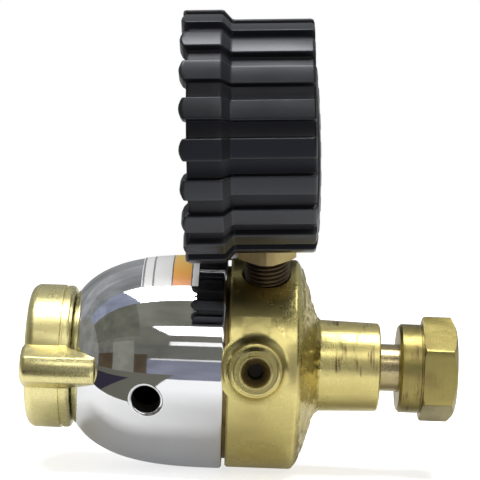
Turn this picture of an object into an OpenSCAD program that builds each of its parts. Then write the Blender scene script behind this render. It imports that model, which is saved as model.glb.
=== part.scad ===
// Single-stage compressed-gas cylinder regulator with two booted gauges.
// Origin: centre of the inlet nut's mouth. +X runs along the main axis towards the cylinder valve,
// +Z is up between the two gauges, and the outlet looks along -Y. Millimetres.

/* [Inlet nut] */
// Width across the flats of the inlet nut
nut_flats = 28.6; // [27:0.1:32]
// Length of the nut's hexagon
nut_hex_len = 10.3; // [10:0.1:14]
// Radius of the round collar behind the hexagon
nut_collar_r = 13.7; // [12.8:0.1:14]
// Length of the collar
nut_collar_len = 7.2; // [6.5:0.1:9]
// Radius of the thread that takes the cylinder valve
nut_thread_r = 10.4; // [10:0.1:10.8]
// Length of that thread
nut_thread_len = 8; // [6:0.1:9]
// Depth of the relief between the thread and the nut's back wall
nut_relief_len = 6.6; // [6:0.1:7.5]
// Turn of the hexagon about the main axis
nut_turn = 7; // [0:1:30]

/* [Inlet nipple] */
// Radius of the nipple's shank
nipple_r = 7.3; // [7:0.1:7.6]
// Length of bare shank between the nut and the neck
nipple_bare_len = 6; // [3:0.1:10]
// Radius of the nipple's head, held inside the nut
nipple_head_r = 9.6; // [9.2:0.1:9.8]
// Length of the cylindrical part of that head
nipple_head_len = 2; // [1.5:0.1:3]
// Length of the rounded nose that seals in the valve
nipple_nose_len = 4; // [3:0.1:5]
// Radius of the gas way through the nipple
nipple_bore_r = 2.2; // [1.5:0.1:2.6]
// Length of pipe thread at both the inlet and the nipple's tail
inlet_thread_len = 12; // [10:0.5:13]
// Outer radius of a quarter-inch pipe thread, used at every port
pipe_r = 6.85; // [6.6:0.05:7]
// Length of the sintered inlet filter
filter_len = 5.6; // [4:0.1:6]
// Radius of the inlet filter
filter_r = 4.2; // [3.6:0.1:4.4]

/* [Body] */
// Outer radius of the forged body
body_r = 32.3; // [31.5:0.1:34]
// Length of the body's cylindrical rim
rim_len = 20.4; // [20:0.1:22]
// Depth of the shallow cone between the rim and the neck
cone_len = 7.4; // [6:0.1:9]
// Length of the neck
neck_len = 18.6; // [18:0.1:24]
// Radius of the neck at its root
neck_root_r = 14.1; // [13.6:0.1:16]
// Radius of the neck at its end
neck_end_r = 13.6; // [12:0.1:13.6]
// Outer radius of the spigot that the bonnet screws onto
spigot_r = 29.7; // [29:0.1:29.9]
// Length of that spigot
spigot_len = 10.6; // [9:0.1:12]
// Width of the joint left open between body and bonnet
joint_gap = 1; // [0.5:0.1:1.5]
// Radius of the chamber under the diaphragm
chamber_r = 24.5; // [23.5:0.1:25.5]
// Radius of the chamber's deeper part
chamber_floor_r = 20; // [18:0.1:21]
// Thickness of metal between the chamber floor and the rim's back edge
floor_back = 9; // [8.5:0.1:10]

/* [Bonnet and knob] */
// Radius of the bonnet at its skirt
bonnet_r = 32.8; // [32.4:0.1:34.5]
// Length of the bonnet from skirt to nose
bonnet_len = 46.1; // [45:0.1:47.5]
// Length at which the bonnet's curve would close
bonnet_close_len = 50; // [49.5:0.1:52]
// Inner radius of the spring chamber
spring_room_r = 26.5; // [26:0.1:27]
// Thickness of the bonnet's nose wall
nose_wall = 4; // [3.5:0.1:4.5]
// Radius of the vent hole
vent_r = 4.15; // [2:0.05:5]
// Distance from the bonnet's skirt to the vent hole's centre
vent_from_skirt = 22.7; // [20:0.1:28]
// Angle of the vent hole below the horizontal
vent_below = 18.8; // [0:0.1:40]
// Radius of the knob's cap
knob_r = 22.1; // [21:0.1:23]
// Length of the knob from its back edge to its face
knob_len = 13.8; // [13.4:0.1:16]
// Wall of the knob's skirt
knob_wall = 3.8; // [3:0.1:4.5]
// Thickness of the knob's face
knob_face_wall = 4.5; // [4:0.1:5.5]
// Height of the T-bar above the knob's face
bar_proud = 0.4; // [0.2:0.1:2.5]
// Radius that the T-bar's outer faces reach
bar_reach = 28.6; // [28.2:0.1:30]
// Width of the T-bar at its outer face
bar_face_w = 7.4; // [6:0.1:9]
// Width of the T-bar where it leaves the cap
bar_root_w = 13; // [9:0.1:14]
// How far the T-bar's arms run on past the knob's back edge
arm_over = 8.2; // [5:0.1:8.4]
// Turn of the T-bar about the main axis
knob_turn = 5.4; // [0:0.1:20]
// Radius of the adjusting screw
screw_r = 6; // [5:0.1:6.5]
// Full travel of the adjusting screw
screw_travel = 7.5; // [5:0.1:7.6]

/* [Diaphragm and valve] */
// Thickness of the diaphragm
diaphragm_t = 1.2; // [0.8:0.1:1.6]
// Thickness of the slip ring
slip_ring_t = 2.2; // [1.8:0.1:2.8]
// Radius of the spring plate on the diaphragm
plate_r = 17; // [15:0.1:18]
// Thickness of that plate
plate_t = 2.5; // [2:0.1:3]
// Wire radius of the adjusting spring
main_wire_r = 1.6; // [1.2:0.05:1.6]
// Coil radius of the adjusting spring
main_coil_r = 10.6; // [10.4:0.1:12]
// Turns of the adjusting spring
main_turns = 3.25; // [2:0.25:3.25]
// Radius of the nozzle's thread
nozzle_r = 7.4; // [6.8:0.1:7.6]
// Length of the nozzle's thread
nozzle_len = 6; // [5:0.1:6.2]
// Radius of the high-pressure chamber that holds the poppet
hp_r = 6; // [5.7:0.1:6.4]
// Length of that chamber
hp_len = 12; // [11:0.1:12]
// Radius of the pin that the diaphragm pushes
pin_r = 1.2; // [0.9:0.05:1.4]
// Lift of the valve
valve_lift = 0.8; // [0.4:0.1:1]

/* [Outlet] */
// Distance from the body's front face to the outlet's axis
outlet_from_face = 8.2; // [7.5:0.1:8.6]
// Radius of the boss round the outlet
outlet_boss_r = 8.1; // [7.9:0.1:9]
// Height of that boss above the body's rim
outlet_boss_out = 2.7; // [1.7:0.1:4.7]
// Radius of the outlet's male thread
outlet_thread_r = 7.1; // [6.9:0.05:7.3]
// Length of the outlet fitting outside the boss
outlet_len = 8; // [6.5:0.1:12]
// Radius of the fitting's nose
outlet_nose_r = 4.9; // [4.5:0.1:5.4]
// Radius of the hole through the outlet
outlet_bore_r = 2.3; // [1.5:0.1:2.6]

/* [Gauges] */
// Distance from the body's front face to the gauge ports' axes
gauge_from_face = 10.9; // [10.6:0.1:11.2]
// Lean of each gauge stem away from the vertical
gauge_lean = 30; // [29:0.5:34]
// Tilt of the near gauge's stem towards the knob
near_rake = 3; // [0:0.5:4]
// Tilt of the far gauge's stem towards the knob
far_rake = -1; // [-2:0.5:4]
// Turn of the far gauge about its own stem
far_twist = 7; // [0:0.5:16]
// Distance from the main axis to the dial's centre
gauge_height = 78.5; // [77:0.1:84]
// Length of the stem's collar between its hexagon and the case
stem_collar_len = 1.9; // [1.4:0.1:4]
// Radius of that collar
stem_collar_r = 7; // [6:0.1:8]
// Length of the stem's hexagon
stem_hex_len = 6.5; // [4:0.1:7]
// Width across the flats of that hexagon
stem_hex_flats = 17.5; // [16:0.1:17.6]
// Radius of the gauge case
case_r = 29.6; // [29.2:0.1:29.8]
// Thickness of the case wall
case_wall = 1; // [0.8:0.1:1.2]
// Thickness of the bezel's wall round the case
bezel_wall = 2.4; // [2.2:0.1:2.8]
// Length of the bezel
bezel_len = 8.5; // [7:0.1:9]
// Thickness of the lens
lens_t = 1.8; // [1.4:0.1:2]

/* [Gauge boots] */
// Thickness of the boot's flange round the bezel, between its ribs
flange_wall = 2.3; // [2.1:0.1:3.4]
// Thickness of the boot's wall round the case, between its ribs
boot_wall = 1.9; // [1.3:0.1:2.3]
// Depth of the grooves between the ribs
rib_depth = 2; // [1.2:0.1:2]
// Ribs round the boot
rib_count = 20; // [12:1:24]
// Share of the pitch that a rib fills
rib_share = 0.55; // [0.35:0.01:0.7]
// Angle between the stem's line and the nearest rib
rib_phase = 3.1; // [0:0.1:9]
// Distance from the stem's axis to the ribs' front ends
boot_front = 22.6; // [22.2:0.1:26]
// Distance from the stem's axis to the boot's back face
boot_back = 14.4; // [14:0.1:16]
// Length of the flange along the dial's axis
flange_len = 11; // [9:0.1:12]
// How far the ribs' front ends stand past the boot's lip
rib_nose = 2.3; // [1.5:0.1:2.8]
// Thickness of the boot's front lip
lip_t = 1.6; // [1.3:0.1:2.2]
// How far the boot's lip comes in past the case's wall
window_step = 1; // [0.4:0.1:2.1]

/* [Gauge movement] */
// Teeth on the pointer's pinion
pinion_teeth = 12; // [12:12:12]
// Teeth that the sector would have all the way round
sector_teeth = 60; // [60:60:60]
// Module of the pair
gear_module = 0.4; // [0.36:0.01:0.42]
// Sweep of the pointer
pointer_sweep = 270; // [270:30:270]
// Length of the pointer from its centre
pointer_len = 21; // [16:0.5:24]
// Radius of the Bourdon tube's curve
bourdon_r = 19.5; // [19:0.1:22]

/* [Hidden] */
$fn = 96;

// clearances
slip = 0.08;      // radial, a shaft that turns or slides in its hole
fixed_fit = 0.05; // radial, a threaded or pressed pair in one body
apart = 0.3;      // between pieces that move past each other
touch = 0.1;      // between a pusher and what it pushes
through = 1;      // overrun of a cut

// facets of a wound wire
wire_sides = 6;
rings_per_turn = 8;

// stations along the main axis, from the inlet nut's mouth to the knob
nut_back_x = -(nut_hex_len + nut_collar_len);
neck_end_x = nut_back_x - nipple_bare_len;
neck_root_x = neck_end_x - neck_len;
rim_x = neck_root_x - cone_len;
face_x = rim_x - rim_len;
skirt_x = face_x - joint_gap;
nose_x = skirt_x - bonnet_len;
knob_back_x = nose_x - apart;
knob_face_x = knob_back_x - knob_len;
seat_x = face_x - spigot_len;
floor_x = rim_x - floor_back;
hp_x = floor_x + nozzle_len;
hp_end_x = hp_x + hp_len;
inlet_bore_x = neck_end_x - inlet_thread_len - touch;
shoulder_x = seat_x - diaphragm_t - slip_ring_t;
room_end_x = nose_x + nose_wall;
plate_x = seat_x - diaphragm_t - plate_t;

// the button stands its full travel clear of the bonnet's nose wall
button_t = 3.5;
button_x = room_end_x + screw_travel + 2 * apart + touch;
button_r = 13.5;
spring_guide_r = (main_coil_r - main_wire_r) * cos(180 / rings_per_turn) - apart;
spring_guide_len = 2;
outlet_x = face_x + outlet_from_face;
gauge_x = face_x + gauge_from_face;
port_depth = 9.5;
port_bottom = body_r - port_depth;
outlet_boss_y = body_r + outlet_boss_out;

// radii that follow the gauge case, and the stem's hexagon that hangs under it
bezel_r = case_r + bezel_wall;
window_r = case_r - window_step;
boot_flange_r = bezel_r + touch + flange_wall + rib_depth;
boot_narrow_r = case_r + touch + boot_wall + rib_depth;
stem_hex_from = gauge_height - case_r - stem_collar_len - stem_hex_len;

// points [x, radius] turned about the main axis
module turned(points) {
    rotate([0, 90, 0]) rotate_extrude() polygon([for (p = points) [p[1], p[0]]]);
}

// an arc of [x, radius] points about a centre, angles from +x towards +radius
function arc(cx, cr, r, from, to, steps) =
    [for (i = [0:steps]) let (a = from + (to - from) * i / steps) [cx + r * cos(a), cr + r * sin(a)]];

// a cylinder along +X between two stations
module rod(x0, x1, r) {
    translate([x0, 0, 0]) rotate([0, 90, 0]) cylinder(h = x1 - x0, r = r);
}

// a hexagonal bar along +X between two stations, one corner up
module hex_rod(x0, x1, flats) {
    translate([x0, 0, 0]) rotate([0, 90, 0]) cylinder(h = x1 - x0, r = flats / sqrt(3), $fn = 6);
}

// a flat outline in y and z, given its thickness from x0 towards +X
module plate_at(x0, t) {
    translate([x0, 0, 0]) rotate([90, 0, 90]) linear_extrude(t) children();
}

// a wire wound about the main axis between two stations, as one closed tube
module coil_spring(x0, x1, coil_r, wire_r, turns) {
    rings = ceil(turns * rings_per_turn);
    pitch = (x1 - x0) / turns;
    tilt = atan2(pitch, 2 * PI * coil_r);
    points = [for (i = [0:rings]) let (t = i / rings, a = 360 * turns * t)
        for (s = [0:wire_sides - 1]) let (b = 360 * s / wire_sides,
            out = wire_r * cos(b), along = wire_r * sin(b))
        [x0 + (x1 - x0) * t + along * cos(tilt),
         (coil_r + out) * cos(a) + along * sin(tilt) * sin(a),
         (coil_r + out) * sin(a) - along * sin(tilt) * cos(a)]];
    sides = [for (i = [0:rings - 1], s = [0:wire_sides - 1]) let (
            a = i * wire_sides + s, b = i * wire_sides + (s + 1) % wire_sides)
        for (f = [[a, b, a + wire_sides], [b, b + wire_sides, a + wire_sides]]) f];
    first = [for (s = [1:wire_sides - 2]) [0, s + 1, s]];
    last_ring = rings * wire_sides;
    last = [for (s = [1:wire_sides - 2]) [last_ring, last_ring + s, last_ring + s + 1]];
    polyhedron(points, concat(first, sides, last));
    echo(spring_gap_to_itself = pitch * cos(tilt) - 2 * wire_r);
}

// ---------------------------------------------------------------- inlet

module inlet_nut() color("goldenrod") {
    chamfer = 1.6;
    corner_r = nut_flats / sqrt(3);
    wall_x = -(nut_thread_len + nut_relief_len);
    difference() {
        union() {
            intersection() {
                rotate([nut_turn, 0, 0]) hex_rod(-nut_hex_len, 0, nut_flats);
                turned([[-nut_hex_len, 0], [-nut_hex_len, corner_r - 0.3], [-nut_hex_len + 0.6, corner_r],
                    [-chamfer, corner_r], [0, corner_r - 2 * chamfer], [0, 0]]);
            }
            turned([[nut_back_x, 0], [nut_back_x, nut_collar_r - 0.6], [nut_back_x + 0.6, nut_collar_r],
                [-nut_hex_len + touch, nut_collar_r], [-nut_hex_len + touch, 0]]);
        }
        rod(-nut_thread_len - touch, through, nut_thread_r);
        rod(wall_x, -nut_thread_len, nut_thread_r + 0.5);
        rod(nut_back_x - through, wall_x + touch, nipple_r + slip);
    }
}

nipple_shoulder_x = -(nut_thread_len + nut_relief_len) + apart;
nipple_nose_x = nipple_shoulder_x + nipple_head_len;
nipple_tail_x = neck_end_x - inlet_thread_len;
filter_room_x = nipple_tail_x + filter_len + 1;

module inlet_nipple() color("peru") {
    tip_r = 3.4;
    nose_x1 = nipple_nose_x + nipple_nose_len;
    difference() {
        turned(concat(
            [[nipple_tail_x, 0], [nipple_tail_x, pipe_r - 0.6], [nipple_tail_x + 0.6, pipe_r],
             [neck_end_x, pipe_r], [neck_end_x, nipple_r], [nipple_shoulder_x, nipple_r],
             [nipple_shoulder_x, nipple_head_r], [nipple_nose_x, nipple_head_r]],
            [for (i = [1:8]) let (a = 90 * i / 8)
                [nipple_nose_x + nipple_nose_len * sin(a), tip_r + (nipple_head_r - tip_r) * cos(a)]],
            [[nose_x1, 0]]));
        rod(nipple_tail_x - through, nose_x1 + through, nipple_bore_r);
        rod(nipple_tail_x - through, filter_room_x, filter_r + fixed_fit);
    }
}

module inlet_filter() color("tan") {
    rod(nipple_tail_x + 1, filter_room_x, filter_r);
}

module filter_clip() color("gray") {
    difference() {
        rod(nipple_tail_x + 0.2, nipple_tail_x + 1, filter_r);
        rod(nipple_tail_x - through, nipple_tail_x + through + 1, filter_r - 1.2);
        rotate([-20, 0, 0]) translate([nipple_tail_x - through, -0.8, 0]) cube([4, 1.6, filter_r + 1]);
    }
}

// ---------------------------------------------------------------- body

// one gauge's own frame: its stem along +Z from the main axis, its dial towards -X
module gauge_frame(side) {
    near = side == "near";
    translate([gauge_x, 0, 0])
        rotate([near ? gauge_lean : -gauge_lean, 0, 0])
            translate([0, 0, body_r])
                rotate([0, near ? -near_rake : -far_rake, near ? 0 : -far_twist])
                    translate([0, 0, -body_r])
                        children();
}

module gauge_port(side) {
    mouth = 1.2;
    overlap = 2;
    // the slanting way aims at the first quarter of the poppet's room
    way_x = 3;
    run = [hp_x + hp_len / 4 - gauge_x - way_x, port_bottom - hp_r];
    gauge_frame(side) {
        translate([0, 0, port_bottom]) cylinder(h = port_depth + 3, r = pipe_r + fixed_fit);
        translate([0, 0, body_r - 1.2]) cylinder(h = 3, r1 = pipe_r, r2 = pipe_r + 3);
        // the delivery gauge looks into the chamber, the contents gauge into the poppet's room
        if (side == "near")
            translate([-2.5, 0, chamber_floor_r - overlap])
                cylinder(h = port_bottom - chamber_floor_r + 2 * overlap, r = mouth);
        else
            translate([way_x, 0, port_bottom + touch]) rotate([0, 180 - atan2(run[0], run[1]), 0])
                cylinder(h = norm(run) + overlap, r = mouth);
    }
}

module body() color("goldenrod") {
    edge = 0.6;
    foot = 2.2;
    difference() {
        union() {
            turned(concat(
                [[seat_x, 0], [seat_x, spigot_r - edge], [seat_x + edge, spigot_r], [face_x, spigot_r],
                 [face_x, body_r - edge], [face_x + edge, body_r], [rim_x, body_r],
                 [rim_x + 1, body_r - 1.6], [rim_x + 2.3, body_r - 4.4], [rim_x + 4.1, body_r - 10.6],
                 [rim_x + 5.7, neck_root_r + foot]],
                arc(neck_root_x + 0.8, neck_root_r + foot, foot, 190, 270, 5),
                [[neck_end_x - edge, neck_end_r], [neck_end_x, neck_end_r - edge], [neck_end_x, 0]]));
            translate([outlet_x, 0, 0]) rotate([90, 0, 0]) {
                cylinder(h = outlet_boss_y - 1, r = outlet_boss_r);
                translate([0, 0, outlet_boss_y - 1])
                    cylinder(h = 1, r1 = outlet_boss_r, r2 = outlet_boss_r - 0.7);
            }
        }
        rod(seat_x - through, face_x - 1.6, chamber_r);
        rod(face_x - 1.6 - touch, floor_x, chamber_floor_r);
        rod(floor_x - touch, hp_x, nozzle_r + fixed_fit);
        rod(hp_x - touch, hp_end_x, hp_r);
        rod(hp_end_x - touch, inlet_bore_x + touch, nipple_bore_r);
        rod(inlet_bore_x, neck_end_x + through, pipe_r + fixed_fit);
        translate([outlet_x, 0, 0]) rotate([90, 0, 0]) {
            translate([0, 0, outlet_boss_y - port_depth])
                cylinder(h = port_depth + through, r = pipe_r + fixed_fit);
            cylinder(h = outlet_boss_y, r = outlet_bore_r);
        }
        gauge_port("near");
        gauge_port("far");
    }
}

module outlet_fitting() color("goldenrod") {
    seat_depth = 4.5;
    nose_len = 2;
    root_y = outlet_boss_y - port_depth + touch;
    tip_y = outlet_boss_y + outlet_len;
    translate([outlet_x, 0, 0]) rotate([90, 0, 0]) difference() {
        rotate_extrude() polygon([[0, root_y], [pipe_r - 0.5, root_y], [pipe_r, root_y + 0.5],
            [pipe_r, outlet_boss_y], [outlet_thread_r, outlet_boss_y],
            [outlet_thread_r, tip_y - nose_len - 0.6], [outlet_thread_r - 0.9, tip_y - nose_len],
            [outlet_nose_r, tip_y - nose_len + 0.3], [outlet_nose_r, tip_y - 0.3],
            [outlet_nose_r - 0.3, tip_y],
            [0, tip_y]]);
        translate([0, 0, root_y - through]) cylinder(h = tip_y, r = outlet_bore_r);
        translate([0, 0, tip_y - seat_depth])
            cylinder(h = seat_depth + touch, r1 = outlet_bore_r, r2 = outlet_nose_r - 0.6);
    }
}

// ---------------------------------------------------------------- valve and diaphragm

module nozzle_washer() color("chocolate") {
    difference() {
        rod(floor_x - 1, floor_x, nozzle_r + 1.4);
        rod(floor_x - 2, floor_x + through, nozzle_r + fixed_fit);
    }
}

nozzle_head_x = floor_x - 1 - 4;

module nozzle() color("goldenrod") {
    way_r = pin_r + 0.8;
    difference() {
        union() {
            rotate([30, 0, 0]) hex_rod(nozzle_head_x, floor_x - 1, 2 * nozzle_r + 1.8);
            rod(floor_x - 1 - touch, hp_x, nozzle_r);
        }
        rod(nozzle_head_x - through, hp_x, pin_r + slip);
        rod(nozzle_head_x + 1.2, hp_x + through, way_r);
        for (turn = [0, 90])
            rotate([turn, 0, 0]) translate([nozzle_head_x + 2.8, 0, -2 * nozzle_r])
                cylinder(h = 4 * nozzle_r, r = 0.9);
    }
}

seat_t = 1.2;
poppet_x = hp_x + touch + seat_t;
poppet_guide_len = 3;
poppet_tail_r = 2.9;
poppet_stop_x = hp_end_x - 2;
pin_tip_x = seat_x + 2.2 + touch;

module valve_seat() color("ivory") {
    difference() {
        rod(hp_x + touch, poppet_x, 3.6);
        rod(hp_x, poppet_x + through, pin_r + fixed_fit);
    }
}

module poppet() color("silver") {
    flat_r = 0.8 * hp_r;
    rod(pin_tip_x, poppet_x + touch, pin_r);
    difference() {
        union() {
            rod(poppet_x, poppet_x + poppet_guide_len, hp_r - slip);
            rod(poppet_x, poppet_stop_x - valve_lift - touch, poppet_tail_r);
        }
        for (turn = [0, 120, 240])
            rotate([turn, 0, 0]) translate([poppet_x - through, -hp_r, flat_r])
                cube([poppet_guide_len + 2 * through, 2 * hp_r, hp_r]);
    }
}

module poppet_spring() color("silver") {
    wire_r = 0.45;
    coil_r = 4;
    turns = 4;
    gap = wire_r + touch;
    coil_spring(poppet_x + poppet_guide_len + gap, hp_end_x - gap, coil_r, wire_r, turns);
}

module diaphragm() color("dimgray") {
    hole_r = 2;
    fold_r = 20.5;
    difference() {
        union() {
            rod(seat_x - diaphragm_t, seat_x, spigot_r - 1);
            // a shallow fold lets the middle move
            turned([[seat_x - touch, fold_r - 1.5], [seat_x + 0.9, fold_r - 0.7],
                [seat_x + 0.9, fold_r + 0.7], [seat_x - touch, fold_r + 1.5]]);
        }
        turned([[seat_x - diaphragm_t - through, fold_r - 0.6], [seat_x, fold_r - 0.3],
            [seat_x, fold_r + 0.3], [seat_x - diaphragm_t - through, fold_r + 0.6]]);
        rod(seat_x - 5, seat_x + 5, hole_r + fixed_fit);
    }
}

module slip_ring() color("goldenrod") {
    difference() {
        rod(shoulder_x, seat_x - diaphragm_t, spigot_r - 1);
        rod(shoulder_x - through, seat_x, chamber_r - 1);
    }
}

module diaphragm_plate() color("silver") {
    edge = 0.5;
    stem_r = 2;
    difference() {
        turned([[seat_x - diaphragm_t, 0], [seat_x - diaphragm_t, plate_r - edge],
            [seat_x - diaphragm_t - edge, plate_r], [plate_x + edge, plate_r], [plate_x, plate_r - edge],
            [plate_x, spring_guide_r], [plate_x - spring_guide_len + edge, spring_guide_r],
            [plate_x - spring_guide_len, spring_guide_r - edge], [plate_x - spring_guide_len, 0]]);
        rod(plate_x - spring_guide_len - through, seat_x, stem_r + fixed_fit);
    }
}

module thrust_button() color("silver") {
    stem_r = 2;
    rod(plate_x, seat_x + touch, stem_r);
    rod(seat_x, pin_tip_x - touch, 6);
}

// ---------------------------------------------------------------- bonnet, spring and knob

// the bonnet's outline is one superellipse: radius at a distance from its skirt
function bell(r, close_len, s) = r * pow(1 - pow(s / close_len, 3), 1 / 3);
bell_steps = 22;

module bonnet() color("lightgray") {
    edge = 0.4;
    bushing_r = screw_r + 3;
    room_from = skirt_x - shoulder_x;
    difference() {
        turned(concat(
            [[skirt_x, spigot_r + 1], [skirt_x, bonnet_r - edge]],
            [for (i = [0:bell_steps]) let (s = edge + (bonnet_len - edge) * sin(90 * i / bell_steps))
                [skirt_x - s, bell(bonnet_r, bonnet_close_len, s)]],
            [[nose_x, 0], [room_end_x, 0]],
            [for (i = [bell_steps:-1:0])
                let (s = room_from + (bonnet_len - nose_wall - room_from) * sin(90 * i / bell_steps))
                [skirt_x - s, bell(spring_room_r, bonnet_close_len - 2, s)]],
            [[shoulder_x, spigot_r + fixed_fit], [skirt_x - 0.8, spigot_r + fixed_fit]]));
        rod(nose_x - through, room_end_x + through, bushing_r + fixed_fit);
        translate([skirt_x - vent_from_skirt, 0, 0]) rotate([90 + vent_below, 0, 0])
            cylinder(h = 2 * bonnet_r, r = vent_r);
    }
}

bushing_out = 2.5;

module bonnet_bushing() color("goldenrod") {
    difference() {
        union() {
            rod(nose_x - touch, room_end_x, screw_r + 3);
            rotate([15, 0, 0]) hex_rod(nose_x - bushing_out, nose_x, 2 * screw_r + 9);
            rod(nose_x - bushing_out - 2.5, nose_x, screw_r + 3);
        }
        rod(nose_x - 2 * bushing_out - 2, room_end_x + through, screw_r + slip);
    }
}

module adjusting_spring() color("gray") {
    gap = main_wire_r + touch;
    coil_spring(button_x + button_t + gap, plate_x - gap, main_coil_r, main_wire_r, main_turns);
}

module spring_button() color("silver") {
    edge = 0.5;
    back_x = button_x + button_t;
    turned([[button_x, 0], [button_x, button_r - edge], [button_x + edge, button_r],
        [back_x - edge, button_r], [back_x, button_r - edge], [back_x, spring_guide_r],
        [back_x + spring_guide_len - edge, spring_guide_r],
        [back_x + spring_guide_len, spring_guide_r - edge], [back_x + spring_guide_len, 0]]);
}

hub_len = 2.5;
hub_x = knob_face_x + knob_face_wall + hub_len;
screw_head_x = knob_face_x + 2.5;
pin_hub_x = knob_face_x + knob_face_wall + 0.6;

module adjusting_screw() color("silver") {
    tip = 1.2;
    difference() {
        turned([[screw_head_x, 0], [screw_head_x, screw_r], [button_x - touch - tip, screw_r],
            [button_x - touch, screw_r - 2 * tip], [button_x - touch, 0]]);
        translate([pin_hub_x, 0, -2 * screw_r]) cylinder(h = 4 * screw_r, r = 1 + fixed_fit);
    }
}

module knob_pin() color("gray") {
    translate([pin_hub_x, 0, -(screw_r + 2.6)]) cylinder(h = 2 * (screw_r + 2.6), r = 1);
}

// the arm's outline in x and radius: rounded outer corner, straight run, chamfered end over the bonnet
module bar_outline() {
    corner = 2.6;
    bar_x = knob_face_x - bar_proud;
    end_x = knob_back_x + arm_over;
    polygon(concat(
        [[bar_x, 0]],
        arc(bar_x + corner, bar_reach - 0.6 - corner, corner, 180, 90, 6),
        [[end_x - 1.4, bar_reach], [end_x, bar_reach - 0.5], [end_x, bar_reach - 1],
         [knob_back_x - 0.1, knob_r], [knob_back_x - 1.5, knob_r - 1.2],
         [knob_face_x + knob_face_wall, knob_r - 1.2], [knob_face_x + knob_face_wall, 0]]));
}

module knob_arm() {
    face = bar_face_w / 2;
    root = bar_root_w / 2;
    intersection() {
        linear_extrude(2 * bar_root_w, center = true) bar_outline();
        plate_at(knob_face_x - 2 * bar_proud, knob_len + 2 * arm_over + 2 * bar_proud)
            polygon([[0, -root], [knob_r, -root], [bar_reach, -face], [bar_reach + 1, -face],
                [bar_reach + 1, face], [bar_reach, face], [knob_r, root], [0, root]]);
    }
}

module knob() color("gold") {
    round_r = 3;
    back_round = 1.6;
    step_x = knob_back_x - 2.6;
    inner_r = knob_r - knob_wall;
    hub_r = screw_r + 3;
    difference() {
        union() {
            turned(concat(
                [[knob_face_x, 0]],
                arc(knob_face_x + round_r, knob_r - round_r, round_r, 180, 90, 7),
                [[step_x - 0.6, knob_r], [step_x - 0.5, knob_r - 0.7], [step_x, knob_r - 0.7],
                 [step_x + 0.1, knob_r - 0.2]],
                arc(knob_back_x - back_round, knob_r - 0.2 - back_round, back_round, 90, 0, 5),
                [[knob_back_x, inner_r], [knob_face_x + knob_face_wall, inner_r],
                 [knob_face_x + knob_face_wall, hub_r], [hub_x, hub_r], [hub_x, 0]]));
            rotate([knob_turn, 0, 0]) knob_arm();
            rotate([knob_turn + 180, 0, 0]) knob_arm();
        }
        rod(screw_head_x, hub_x + through, screw_r + fixed_fit);
        translate([pin_hub_x, 0, -(screw_r + 2.7)]) cylinder(h = 2 * (screw_r + 2.7), r = 1 + fixed_fit);
    }
}

// ---------------------------------------------------------------- gauges, in the frame at the dial's centre

module at_dial(side) {
    gauge_frame(side) translate([0, 0, gauge_height]) children();
}

lip_front_x = -boot_front + rib_nose;
bezel_x = lip_front_x + lip_t + touch;
bezel_lip_t = 1.3;
lens_x = bezel_x + bezel_lip_t + fixed_fit;
case_front_x = lens_x + lens_t + fixed_fit;
back_wall = 3;
case_back_x = boot_back - back_wall - touch;
dial_x = case_front_x + 2.7;
dial_t = 0.5;
pointer_x = dial_x - 1.9;
pointer_t = 0.5;
top_plate_x = dial_x + 2.4;
plate_thick = 0.8;
sector_x = top_plate_x + plate_thick + 1.2;
sector_t = 1.8;
link_x = sector_x + sector_t + 0.4;
link_t = 0.6;
low_plate_x = link_x + link_t + 0.6;
block_x = low_plate_x + plate_thick;
block_top = -16;
block_rise = 2.6; // from the outside of the case to the block's foot
block_foot = -case_r + block_rise;
block_half = 8;
block_cap = 6; // metal above the end of the block's bore
block_back_x = 6;
post_r = 1.2;
post_y = 8.5;
post_top = 8;
post_low = -22;
plate_edge_y = 2.5;
plate_edge_z = 3;
shaft_r = 0.6;
dial_screw_r = 0.65;
screw_deep = 1.2;

boot_profile = [[-boot_front, boot_flange_r], [-boot_front + flange_len, boot_flange_r],
    [-boot_front + flange_len + 2.8, boot_narrow_r], [boot_back, boot_narrow_r]];

module gauge_boot(side) color("#2b2b2e") at_dial(side) {
    inner = 20;
    edge = 1;
    rib_root = case_r - 0.6;
    nose_root = case_r + 0.2;
    difference() {
        union() {
            turned([[lip_front_x, inner], [lip_front_x, boot_flange_r - rib_depth - edge],
                [lip_front_x + edge, boot_flange_r - rib_depth],
                [boot_profile[1][0], boot_flange_r - rib_depth],
                [boot_profile[2][0], boot_narrow_r - rib_depth],
                [boot_back - edge, boot_narrow_r - rib_depth], [boot_back, boot_narrow_r - rib_depth - edge],
                [boot_back, 0], [boot_back - back_wall, 0], [boot_back - back_wall, inner]]);
            for (k = [0:rib_count - 1])
                rotate([360 / rib_count * (k - rib_share / 2) - rib_phase, 0, 0])
                    rotate([0, 90, 0]) rotate_extrude(angle = 360 / rib_count * rib_share)
                        polygon([[rib_root, -boot_front + 0.8], [nose_root, -boot_front],
                            [boot_flange_r - edge, -boot_front], [boot_flange_r, -boot_front + edge],
                            [boot_flange_r, boot_profile[1][0]], [boot_narrow_r, boot_profile[2][0]],
                            [boot_narrow_r, boot_back - edge], [boot_narrow_r - edge, boot_back],
                            [rib_root, boot_back]]);
        }
        rod(-boot_front - through, bezel_x - touch, window_r);
        rod(bezel_x - touch, bezel_x + bezel_len + apart, bezel_r + touch);
        rod(bezel_x + bezel_len, boot_back - back_wall, case_r + touch);
        translate([0, 0, -boot_flange_r - through])
            cylinder(h = boot_flange_r + through - case_r + 4, r = stem_hex_flats / sqrt(3) + 0.5);
    }
}

module gauge_case(side) color("#3a3a3c") at_dial(side) {
    edge = 1.5;
    difference() {
        turned([[case_front_x, 0], [case_front_x, case_r], [case_back_x - edge, case_r],
            [case_back_x, case_r - edge], [case_back_x, 0]]);
        rod(case_front_x - through, case_back_x - case_wall, case_r - case_wall);
        translate([0, 0, -case_r - through]) cylinder(h = 6, r = stem_collar_r + fixed_fit);
    }
}

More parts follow.
